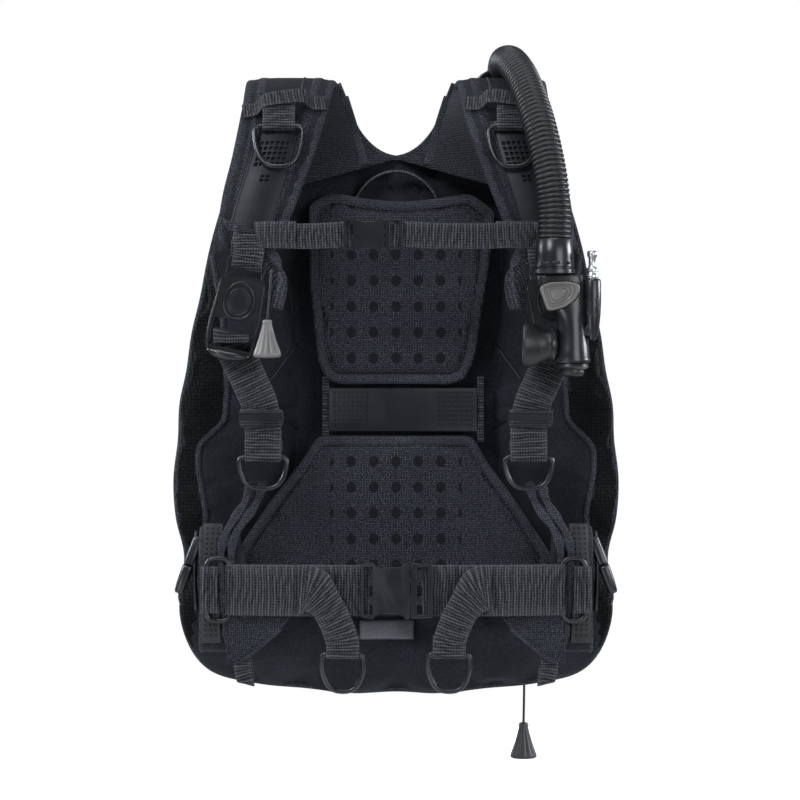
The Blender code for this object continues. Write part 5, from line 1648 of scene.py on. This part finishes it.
def make_deflate_button():
    """The sprung rubber button under the stem, and the skirt round it."""
    profile = [(0, 0.0332), (0.0085, 0.0332), (0.0106, 0.0338), (0.0120, 0.0352), (0.0122, 0.0375),
               (0.0118, 0.0392), (0.0122, 0.0410), (0.0122, 0.0508), (0, 0.0508)]
    place = Matrix.Translation((STEM_X, PIVOT.y, 0))
    show(turned("deflate_button_cap", profile, RUBBER, place), "deflate_button", "deflate_button")
    skirt = [(0.0128, 0.0462), (0.0158, 0.0452), (0.0170, 0.0426), (0.0150, 0.0404), (0.0128, 0.0400)]
    show(turned("deflate_skirt", skirt, BUCKLE, place), "inflator")


def make_mouthpiece():
    """The oral mouthpiece: a neck that flares to a scooped oval mouth with a bite lip."""
    y, z = PIVOT.y, 0.064
    stations = [(0.1575, 0.0148, 0.0148), (0.1530, 0.0152, 0.0150), (0.1480, 0.0150, 0.0140),
                (0.1420, 0.0165, 0.0150), (0.1350, 0.0196, 0.0182), (0.1285, 0.0222, 0.0208),
                (0.1248, 0.0228, 0.0216), (0.1240, 0.0218, 0.0206), (0.1262, 0.0196, 0.0180),
                (0.1330, 0.0150, 0.0136), (0.1430, 0.0110, 0.0100), (0.1500, 0.0098, 0.0092)]
    sides = 36
    points = []
    stops = curve_through([Vector(stop) for stop in stations], 0.002)
    for x, half_z, half_y in stops:
        flare = max(0.0, (0.150 - x) / 0.026)
        for k in range(sides):
            turn = 2 * math.pi * k / sides
            scoop = max(0.0, 0.0060 * flare * math.cos(2 * turn) - 0.0026 * flare)
            points.append((x + 0.9 * scoop, y + half_y * math.sin(turn), z + half_z * math.cos(turn)))
    mouth = solid("oral_mouthpiece", points, loft_faces(len(stops), sides), RUBBER)
    show(mouth, "inflator", "mouthpiece")
    collar = [(0.0150, 0.0), (0.0168, 0.0006), (0.0172, 0.0030), (0.0160, 0.0046), (0.0150, 0.0046)]
    place = Matrix.Translation((0.1560, y, z)) @ Matrix.Rotation(math.radians(-90), 4, "Y")
    show(turned("mouthpiece_collar", collar, BUCKLE, place), "inflator")


def make_nipple():
    """The chrome quick-coupling nipple, with its collar and its groove."""
    profile = [(0, 0.1286), (0.0056, 0.1286), (0.0060, 0.1296), (0.0060, 0.1330), (0.0050, 0.1340),
               (0.0050, 0.1352), (0.0057, 0.1358), (0.0057, 0.1384), (0.0040, 0.1400), (0.0036, 0.1412),
               (0.0036, 0.1490), (0.0047, 0.1504), (0.0050, 0.1520), (0.0050, 0.1545), (0.0042, 0.1556),
               (0.0022, 0.1560), (0.0018, 0.1540), (0, 0.1538)]
    place = Matrix.Translation((INLET_X, PIVOT.y - 0.002, 0))
    show(turned("inlet_nipple", profile, CHROME, place, sides=36), "inflator", "inflator_nipple")


# ---- valves, elbow and pulls ---------------------------------------------------------------------
def axis_matrix(centre, out):
    """A frame at centre with its Z along out."""
    side = Vector((0, 0, 1)).cross(out).normalized()
    return Matrix.Translation(centre) @ Matrix((side, out.cross(side), out)).transposed().to_4x4()


# each port on the back of the cell, as a frame whose Z points outwards
PORTS = {name: axis_matrix(centre, Vector(out).normalized()) for name, centre, out in
         (("elbow", (0.1144, 0.0312, 0.2570), (0.528, 0.841, 0.119)),
          ("right_dump", (-0.1144, 0.0312, 0.2570), (-0.539, 0.835, 0.112)),
          ("rear_dump", (0.1341, 0.0235, -0.2272), (0.513, 0.854, -0.088)))}
CAP_AXIS = Vector((0, 0.75, 0.66))


def make_ribs(name, count, place, outline, radius, sides):
    """Grip ribs round a cap: one small tube along a (radius, height) outline at each turn."""
    for index in range(count):
        turn = 2 * math.pi * index / count
        line = [place @ Vector((reach * math.cos(turn), reach * math.sin(turn), height))
                for reach, height in outline]
        show(tube(f"{name}_{index}", line, radius, BUCKLE, sides=sides))


def make_dump_valve(word):
    """A dump valve: a flanged dome with ribs round it, and the sprung poppet in its neck."""
    place = PORTS[word]
    profile = [(0.0101, -0.0098), (0.0128, -0.0098), (0.0128, 0.0010), (0.0226, 0.0012), (0.0246, 0.0022),
               (0.0251, 0.0040), (0.0246, 0.0058), (0.0232, 0.0082), (0.0206, 0.0100), (0.0188, 0.0110),
               (0.0170, 0.0106), (0.0150, 0.0112), (0.0110, 0.0120), (0.0101, 0.0116)]
    show(turned(word + "_valve_body", profile, BUCKLE, place, sides=56), "vest", word + "_valve")
    outline = [(0.0192, 0.0111), (0.0216, 0.0097), (0.0237, 0.0076), (0.0248, 0.0054)]
    make_ribs(word + "_valve_rib", 12, place, outline, [0.0003, 0.0010, 0.0010, 0.0003], 8)
    poppet = [(0, -0.0080), (0.0090, -0.0080), (0.0090, -0.0052), (0.0032, -0.0040), (0.0030, 0.0078),
              (0.0070, 0.0088), (0.0076, 0.0096), (0.0074, 0.0106), (0.0050, 0.0110), (0.0040, 0.0104),
              (0, 0.0104)]
    show(turned(word + "_poppet_disc", poppet, GREY, place, sides=36), word + "_poppet", word + "_poppet")


def make_elbow():
    """The elbow on the shoulder: a ribbed flange, a domed cap and a spout that turns up into the hose."""
    place = PORTS["elbow"]
    profile = [(0, -0.0098), (0.0128, -0.0098), (0.0128, 0.0010), (0.0256, 0.0012), (0.0276, 0.0026),
               (0.0280, 0.0050), (0.0268, 0.0066), (0.0250, 0.0072), (0.0244, 0.0104), (0.0200, 0.0132),
               (0.0130, 0.0148), (0, 0.0150)]
    show(turned("elbow_flange", profile, BUCKLE, place, sides=56), "vest", "shoulder_elbow")
    make_ribs("elbow_grip", 18, place, [(0.0246, 0.0084), (0.0266, 0.0074), (0.0279, 0.0052)], 0.0009, 6)
    cap = [(0, -0.0030), (0.0330, -0.0030), (0.0365, -0.0014), (0.0372, 0.0008), (0.0352, 0.0026),
           (0.0318, 0.0030), (0.0306, 0.0016), (0.0272, 0.0016), (0.0260, 0.0036), (0.0180, 0.0050),
           (0, 0.0056)]
    show(turned("shoulder_cap", cap, BUCKLE, axis_matrix((0.112, 0.038, 0.3215), CAP_AXIS), sides=64))
    mouth = Vector(HOSE_LINE[0])
    along_hose = (Vector(HOSE_LINE[1]) - mouth).normalized()
    start = place @ Vector((0, 0, 0.006))
    spout = curve_through([start, mouth - along_hose * 0.016, mouth - along_hose * 0.002], 0.003)
    show(tube("elbow_spout", spout, [0.0140, 0.0132, 0.0128, 0.0125], BUCKLE, sides=32, smooth=False))
    clamp = [mouth + along_hose * shift for shift in (0.0002, 0.0022, 0.0042, 0.0062)]
    show(tube("hose_clamp", clamp, [0.0150, 0.0158, 0.0158, 0.0150], BUCKLE, sides=36, smooth=False))


def make_pull(name, node, cord, material):
    """A dump cord and its fluted bell-shaped knob."""
    top = cord[-1]
    profile = [(0, 0.0006), (0.0030, 0.0006), (0.0044, -0.0004), (0.0048, -0.0020), (0.0046, -0.0034),
               (0.0052, -0.0060), (0.0064, -0.0110), (0.0084, -0.0180), (0.0108, -0.0250), (0.0130, -0.0310),
               (0.0136, -0.0332), (0.0134, -0.0350), (0.0116, -0.0362), (0.0060, -0.0369), (0, -0.0370)]

    def flute(height, turn):
        skirt = max(0.0, min(1.0, (-height - 0.004) / 0.006)) * max(0.0, min(1.0, (0.0352 + height) / 0.004))
        return 1.0 - 0.13 * skirt * (0.5 - 0.5 * math.cos(12 * turn)) ** 2

    knob = turned(name + "_knob", profile, material, Matrix.Translation(top), sides=96, dent=flute, sharp=180)
    show(knob, node, node)
    line = curve_through(cord, 0.003)
    line[-1] = Vector(top) + Vector((0, 0, -0.003))
    show(tube(name + "_cord", line, 0.00125, RUBBER, smooth=False), node)


# ---- hips: weight pockets, pouches and their flaps -----------------------------------------------
def soft_sock(name, node, side, inset, mouth_x, base_x):
    """A soft fabric sleeve inside a CAD box: open at mouth_x and closed at base_x, with a folded rim."""
    low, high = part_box(node)
    middle = (low + high) / 2
    half_y = (high.y - low.y) / 2 - inset
    half_z = (high.z - low.z) / 2 - inset
    wall = 0.0016
    rows = []
    stops = [(base_x, 0.35, wall), (base_x, 0.86, wall), (base_x + 0.004, 1.0, wall)]
    span = mouth_x - base_x
    stops += [(base_x + span * share, 1.0, wall) for share in (0.3, 0.5, 0.7, 0.85, 0.97)]
    stops += [(mouth_x, 1.0, wall / 2)]
    stops += [(base_x + span * share, 1.0, 0.0) for share in (0.97, 0.85, 0.7, 0.5, 0.3)]
    stops += [(base_x + 0.001, 1.0, 0.0), (base_x - 0.001, 0.86, 0.0), (base_x - 0.001, 0.35, 0.0)]
    sides = 56
    for x, scale, inner in stops:
        for k in range(sides):
            turn = 2 * math.pi * k / sides
            y = (half_y - inner) * scale * signed_power(math.sin(turn), 0.45)
            z = (half_z - inner) * scale * signed_power(math.cos(turn), 0.30)
            pucker = 0.0022 * noise.noise(Vector((x * 60, y * 30, z * 45)))
            rows.append(Vector((side * (x + 0.3 * pucker), middle.y + y + pucker * math.sin(turn),
                                middle.z + z + 0.4 * pucker)))
    sock = subdivide(solid(name, rows, loft_faces(len(stops), sides), SHELL))
    rim = rows[8 * sides:9 * sides]
    return sock, rim


def make_weight_pocket(side, word):
    """The hip pocket with its hem and tapes, and the pouch that slides out of it."""
    node = "weight_pocket_" + word
    sock, rim = soft_sock("weight_sleeve_" + word, node, side, 0.0010, 0.1920, 0.1545)
    show(sock, "vest", node)
    tape(f"weight_rim_{word}", rim, closed=True)
    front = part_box(node)[0].y - 0.0008
    hem_lines = ((0.138, 0.161, 0.158, 0.004), (0.150, 0.171, 0.166, 0.0))
    for index, (top_x, mid_x, end_x, lift) in enumerate(hem_lines):
        stops = [(top_x - 0.006, 0.018, -0.072), (top_x, 0.007, -0.092),
                 (mid_x, -0.0010 - lift * 0.3, -0.130), (mid_x, -0.0016, -0.180), (end_x, -0.0006, -0.226),
                 (end_x - 0.004, 0.004, -0.250)]
        line = curve_through([(side * x, front + y, z) for x, y, z in stops], 0.004)
        show(swept(f"hip_tape_{index}_{word}", line,
                   lambda share, width: oval(0.0042 + 0.0008 * math.sin(share * 40), 0.0017), TAPE))
    make_hip_flap(side, word)
    make_perforated_strip(side, word, front)
    pouch = "weight_pouch_" + word
    bag, _ = soft_sock("pouch_bag_" + word, pouch, side, 0.0016, 0.1955, 0.1585)
    show(bag, pouch, pouch)
    make_pouch_flap(side, word, pouch)


def make_pouch_flap(side, word, body):
    """The outer end of the pouch: a stiffened flap with a pull loop and its small side-release buckle."""
    low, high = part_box(body)
    middle_y = (low.y + high.y) / 2
    top, bottom = high.z - 0.002, high.z - 0.080
    line = [Vector((side * (0.1975 + 0.0018 * math.sin(math.pi * share)), middle_y,
                    top + (bottom - top) * share)) for share in even(0, 1, 22)]
    flap = swept("pouch_flap_" + word, line,
                 lambda share, width: oval(0.0128 - 0.024 * abs(share - 0.5) ** 3, 0.0017, 20, 0.5), RUBBER,
                 side=(0, 1, 0))
    show(flap, body)
    lean = Matrix.Translation((side * 0.2050, middle_y - 0.004, -0.153))
    lean = lean @ Matrix.Rotation(side * math.radians(-20), 4, "Y")
    halves = (("socket", [(0.030, 0.0050, 0.0040), (0.028, 0.0080, 0.0050), (0.012, 0.0100, 0.0058),
                          (0.0015, 0.0104, 0.0058), (0.0010, 0.0094, 0.0050)]),
              ("prong", [(-0.0005, 0.0072, 0.0044), (-0.0020, 0.0100, 0.0056), (-0.0150, 0.0104, 0.0056),
                         (-0.0270, 0.0086, 0.0048), (-0.0300, 0.0060, 0.0036)]))
    for label, stops in halves:
        sides = 24
        rows = [lean @ Vector((b, a, z)) for z, half_y, half_x in curve_through(stops, 0.0015)
                for a, b in oval(half_y, half_x, sides, 0.6)]
        piece = solid(f"pouch_buckle_{label}_{word}", rows, loft_faces(len(rows) // sides, sides), BUCKLE)
        piece.data.set_sharp_from_angle(angle=math.radians(50))
        show(piece, body)
    for label, start, end in (("upper", (0, 0, 0.027), (-side * 0.013, 0.002, 0.046)),
                              ("lower", (0, 0, -0.027), (-side * 0.006, 0.002, -0.040))):
        bow = (Vector(start) + Vector(end)) / 2 + Vector((side * 0.0012, 0, 0))
        path = [lean @ Vector(start), lean @ bow, lean @ Vector(end)]
        show(strap(f"pouch_tape_{label}_{word}", path, (0, 1, 0), 0.014, step=0.003, thick=0.0016), body)


def make_perforated_strip(side, word, front):
    """The rubber strip beside the pocket's mouth, with three rows of small punched holes."""
    pitch, hole = 0.0050, 0.0020
    us = [-0.0095] + cells(-0.0061, pitch, hole, 3) + [0.0095]
    vs = [-0.112] + cells(-0.1160, -pitch, -hole, 22) + [-0.2300]

    def place(u, v, lift):
        share = (v + 0.112) / -0.118
        bow = 0.0035 * math.sin(math.pi * share)
        return Vector((side * (0.1805 + u + 0.003 * math.sin(2.4 * share)), front - 0.0004 - bow * 0.3 - lift
                       + 9 * u * u + 0.004 * (1 - share) ** 6, v))

    def depth(i, j):
        return -0.0013 if i % 2 and j % 2 else 0.0

    strip = lattice("punched_strip_" + word, us, vs, depth, place, 0.0018, RUBBER)
    show(bevel(strip, 0.0002, 1))


def make_hip_flap(side, word):
    """The triangular mesh flap under the belt, hemmed with tape, and the webbing loop at its point."""
    corners = [Vector((side * 0.168, -0.1270, -0.196)), Vector((side * 0.100, -0.1360, -0.199)),
               Vector((side * 0.112, -0.1340, -0.214)), Vector((side * 0.157, -0.1240, -0.252)),
               Vector((side * 0.164, -0.1230, -0.240))]
    steps = 10
    rows = []
    for layer in (0.0, 0.0016):
        for i in range(steps):
            top = corners[0].lerp(corners[1], i / (steps - 1))
            base = corners[4].lerp(corners[3], min(1.0, i / (steps - 1) * 2.2)) if i < 5 else corners[3].lerp(
                corners[2], (i - 4) / (steps - 5))
            for j in range(steps):
                t = j / (steps - 1)
                spot = top.lerp(base, t)
                spot.y += layer - 0.003 * math.sin(math.pi * t) + 0.0022 * noise.noise(spot * 45)
                rows.append(spot)
    show(subdivide(solid("hip_flap_" + word, rows, sheet_faces(steps, steps), FINE_MESH)))
    tape("hip_flap_hem_" + word, [rows[steps * i + steps - 1] for i in range(steps)], radius=0.0022)
    loop = [Vector((side * 0.152, -0.120, -0.240)), Vector((side * 0.1515, -0.1240, -0.254)),
            Vector((side * 0.1490, -0.1270, -0.2655)), Vector((side * 0.1480, -0.1210, -0.2700)),
            Vector((side * 0.1485, -0.1160, -0.2640)), Vector((side * 0.1510, -0.1140, -0.2480))]
    slant = (1, 0, 0.25 * side)
    show(strap("hip_loop_end_" + word, loop, slant, 0.017, step=0.002, thick=0.0016, wave=0.0006))


# ---- yoke and cords ------------------------------------------------------------------------------
def double_sheet(name, first, second, sag, material, steps=12):
    """Soft cloth stretched between two lines of the same length, bowed by sag."""
    rows = []
    for layer in (0.0, 0.0018):
        for a, b in zip(first, second):
            for t in even(0, 1, steps):
                spot = a.lerp(b, t) + Vector(sag) * math.sin(math.pi * t)
                spot.y += layer + 0.0014 * noise.noise(spot * 35) * math.sin(math.pi * t)
                rows.append(spot)
    sheet = solid(name, rows, sheet_faces(len(first), steps), material)
    return show(subdivide(sheet))


def make_yoke(side, word):
    """The mesh lining from the shoulder strap's inner edge back to the neck, where both sides meet in a V."""
    strap_edge = [on_shoulder(side, z, across, -0.003) for z, across in
                  ((0.3285, -0.040), (0.317, -0.039), (0.300, -0.038), (0.270, -0.036), (0.245, -0.033),
                   (0.222, -0.031))]
    neck = [Vector((side * x, y, z)) for x, y, z in
            ((0.059, 0.006, 0.3320), (0.0495, 0.005, 0.3080), (0.040, 0.004, 0.2850), (0.026, 0.004, 0.2680),
             (0.012, 0.004, 0.2590), (-0.001, 0.004, 0.2555))]
    first = curve_through(strap_edge, 0.008)
    second = resample(curve_through(neck, 0.002), 0.001)
    second = [second[round(index / (len(first) - 1) * (len(second) - 1))] for index in range(len(first))]
    sheet = double_sheet("yoke_lining_" + word, first, second, (0, 0.008, 0), YOKE)
    ribbon("yoke_hem_" + word, curve_through(neck, 0.004), 0.0022, 0.0030, side=(0, 1, 0))
    tree = BVHTree.FromObject(sheet, bpy.context.evaluated_depsgraph_get())
    line = []
    for share in even(0, 1, 24):
        spot = on_surface(tree, side * (0.054 - 0.028 * share), 0.318 - 0.090 * share, 0.0008)
        if spot is not None:
            line.append(spot)
    ribbon("yoke_binding_" + word, smoothed(line, 2), 0.0050, 0.0014, side=(1, 0, 0.3 * side))


def make_neck_panel():
    """The folded cloth below the V of the neck, behind the grab handle."""
    top = [Vector((x, 0.0065, 0.2562 + 0.45 * max(0.0, abs(x) - 0.010))) for x in even(-0.046, 0.046, 40)]
    bottom = [Vector((x, 0.0010, 0.192)) for x in even(-0.070, 0.070, 40)]
    for index, spot in enumerate(bottom):
        fold = 0.0030 * math.sin(index * 0.9) + 0.0020 * math.sin(index * 0.37 + 1)
        spot.y += fold
    double_sheet("neck_panel", top, bottom, (0, 0.0035, 0), SHELL, steps=16)


def make_cords(cell):
    """Thin cords that hold the cell's front, laid on its surface."""
    tree = BVHTree.FromObject(cell, bpy.context.evaluated_depsgraph_get())
    cords = (((0.079, 0.097), (0.127, 0.030)), ((0.118, -0.003), (0.090, -0.029)))
    for side, word in SIDES:
        for index, (start, end) in enumerate(cords):
            line = []
            for share in even(0, 1, 18):
                spot = on_surface(tree, side * (start[0] + (end[0] - start[0]) * share),
                                  start[1] + (end[1] - start[1]) * share, 0.0010)
                if spot is not None:
                    line.append(spot)
            show(tube(f"front_cord_{index}_{word}", line, 0.0013, RUBBER, smooth=False))


# ---- stage, lights and camera --------------------------------------------------------------------
def add_light(name, spot, aim, size, power, colour=(1, 1, 1)):
    lamp = bpy.data.lights.new(name, "AREA")
    lamp.size = size
    lamp.energy = power
    lamp.color = colour
    item = bpy.data.objects.new(name, lamp)
    item.location = spot
    item.rotation_euler = (Vector(aim) - Vector(spot)).to_track_quat("-Z", "Y").to_euler()
    bpy.context.scene.collection.objects.link(item)


def make_stage():
    """A pale floor, a white studio world, six soft lights and the camera."""
    scene = bpy.context.scene
    aim = Vector((0.004, -0.05, 0.010))
    floor_z = CAD_BOUNDS[0][2] - 0.012
    half = 0.62
    floor = solid("floor", [(-half, -half, floor_z), (half, -half, floor_z), (half, half, floor_z),
                            (-half, half, floor_z)], [(0, 1, 2, 3)], floor_material())
    world = bpy.data.worlds.new("studio")
    scene.world = world
    world.use_nodes = True
    tree = world.node_tree
    tree.nodes.clear()
    output = tree.nodes.new("ShaderNodeOutputWorld")
    path = tree.nodes.new("ShaderNodeLightPath")
    lit = tree.nodes.new("ShaderNodeBackground")
    seen = tree.nodes.new("ShaderNodeBackground")
    choose = tree.nodes.new("ShaderNodeMixShader")
    lit.inputs[0].default_value = (0.95, 0.97, 1.0, 1)
    lit.inputs[1].default_value = 0.22
    seen.inputs[0].default_value = (1, 1, 1, 1)
    seen.inputs[1].default_value = 1.0
    tree.links.new(path.outputs["Is Camera Ray"], choose.inputs[0])
    tree.links.new(lit.outputs[0], choose.inputs[1])
    tree.links.new(seen.outputs[0], choose.inputs[2])
    tree.links.new(choose.outputs[0], output.inputs[0])
    cool = (0.90, 0.95, 1.0)
    add_light("key", (-1.3, -2.2, 1.9), aim, 0.9, 50, cool)
    add_light("fill", (1.5, -2.3, 0.5), aim, 1.4, 30, cool)
    add_light("low", (-1.6, -2.5, -0.9), aim, 1.2, 20, cool)
    add_light("top", (0.0, -0.5, 2.3), aim, 0.9, 20, cool)
    add_light("left_rim", (-1.9, 0.3, 0.8), aim, 0.7, 34, cool)
    add_light("right_rim", (1.9, 0.3, 0.6), aim, 0.7, 34, cool)
    camera_data = bpy.data.cameras.new("camera")
    distance = 4.2
    camera_data.sensor_width = 36
    camera_data.lens = 36 * (distance - 0.02) / 0.8
    camera = bpy.data.objects.new("camera", camera_data)
    camera.location = aim + Vector((0, -distance, 0.0))
    camera.rotation_euler = (math.radians(90), 0, 0)
    scene.collection.objects.link(camera)
    scene.camera = camera
    scene.view_settings.view_transform = "Standard"


def floor_material():
    s = Shader("pale_floor")
    tone = s.noise(s.place(), 3.0, 2.0)
    s.surface.inputs["Emission Color"].default_value = (1, 1, 1, 1)
    seen = s.times(s.add("ShaderNodeLightPath"), 0.75)
    s.tree.links.new(seen, s.surface.inputs["Emission Strength"])
    return s.finish(s.mix(tone, (0.80, 0.80, 0.80), (0.86, 0.86, 0.86)), 0.8, specular=0.1)


def main():
    cell = make_cell()
    make_panel_seams(cell)
    make_liner()
    make_back_pad("upper_back_pad")
    make_back_pad("lumbar_pad")
    for side, word in SIDES:
        make_shoulder_pad(side, word)
        make_shoulder_wing(side, word)
        make_shoulder_plate(side, word)
        make_chest_tab(side, word)
        make_shoulder_webbing(side, word)
        make_lower_strap(side, word)
        make_release_frame(side, word)
        make_ladder_lock(side, word)
        make_weight_pocket(side, word)
        make_yoke(side, word)
    make_neck_panel()
    make_cords(cell)
    make_sternum_strap()
    make_waist_belt()
    make_backplate()
    make_tank_band()
    make_centre_band()
    make_handle()
    make_label(cell)
    make_hose()
    make_cuff()
    make_inflator_body()
    make_inflate_button()
    make_deflate_button()
    make_mouthpiece()
    make_nipple()
    make_elbow()
    make_dump_valve("right_dump")
    make_dump_valve("rear_dump")
    make_pull("shoulder_pull", "shoulder_dump_pull",
              [(-0.122, -0.1560, 0.138), (-0.124, -0.1570, 0.110), (-0.126, -0.1580, 0.088)], GREY)
    make_pull("rear_pull", "rear_dump_pull",
              [(0.1320, 0.0520, -0.262), (0.1315, 0.0500, -0.300), (0.1310, 0.0480, -0.322)], DARK_GREY)
    make_stage()


main()
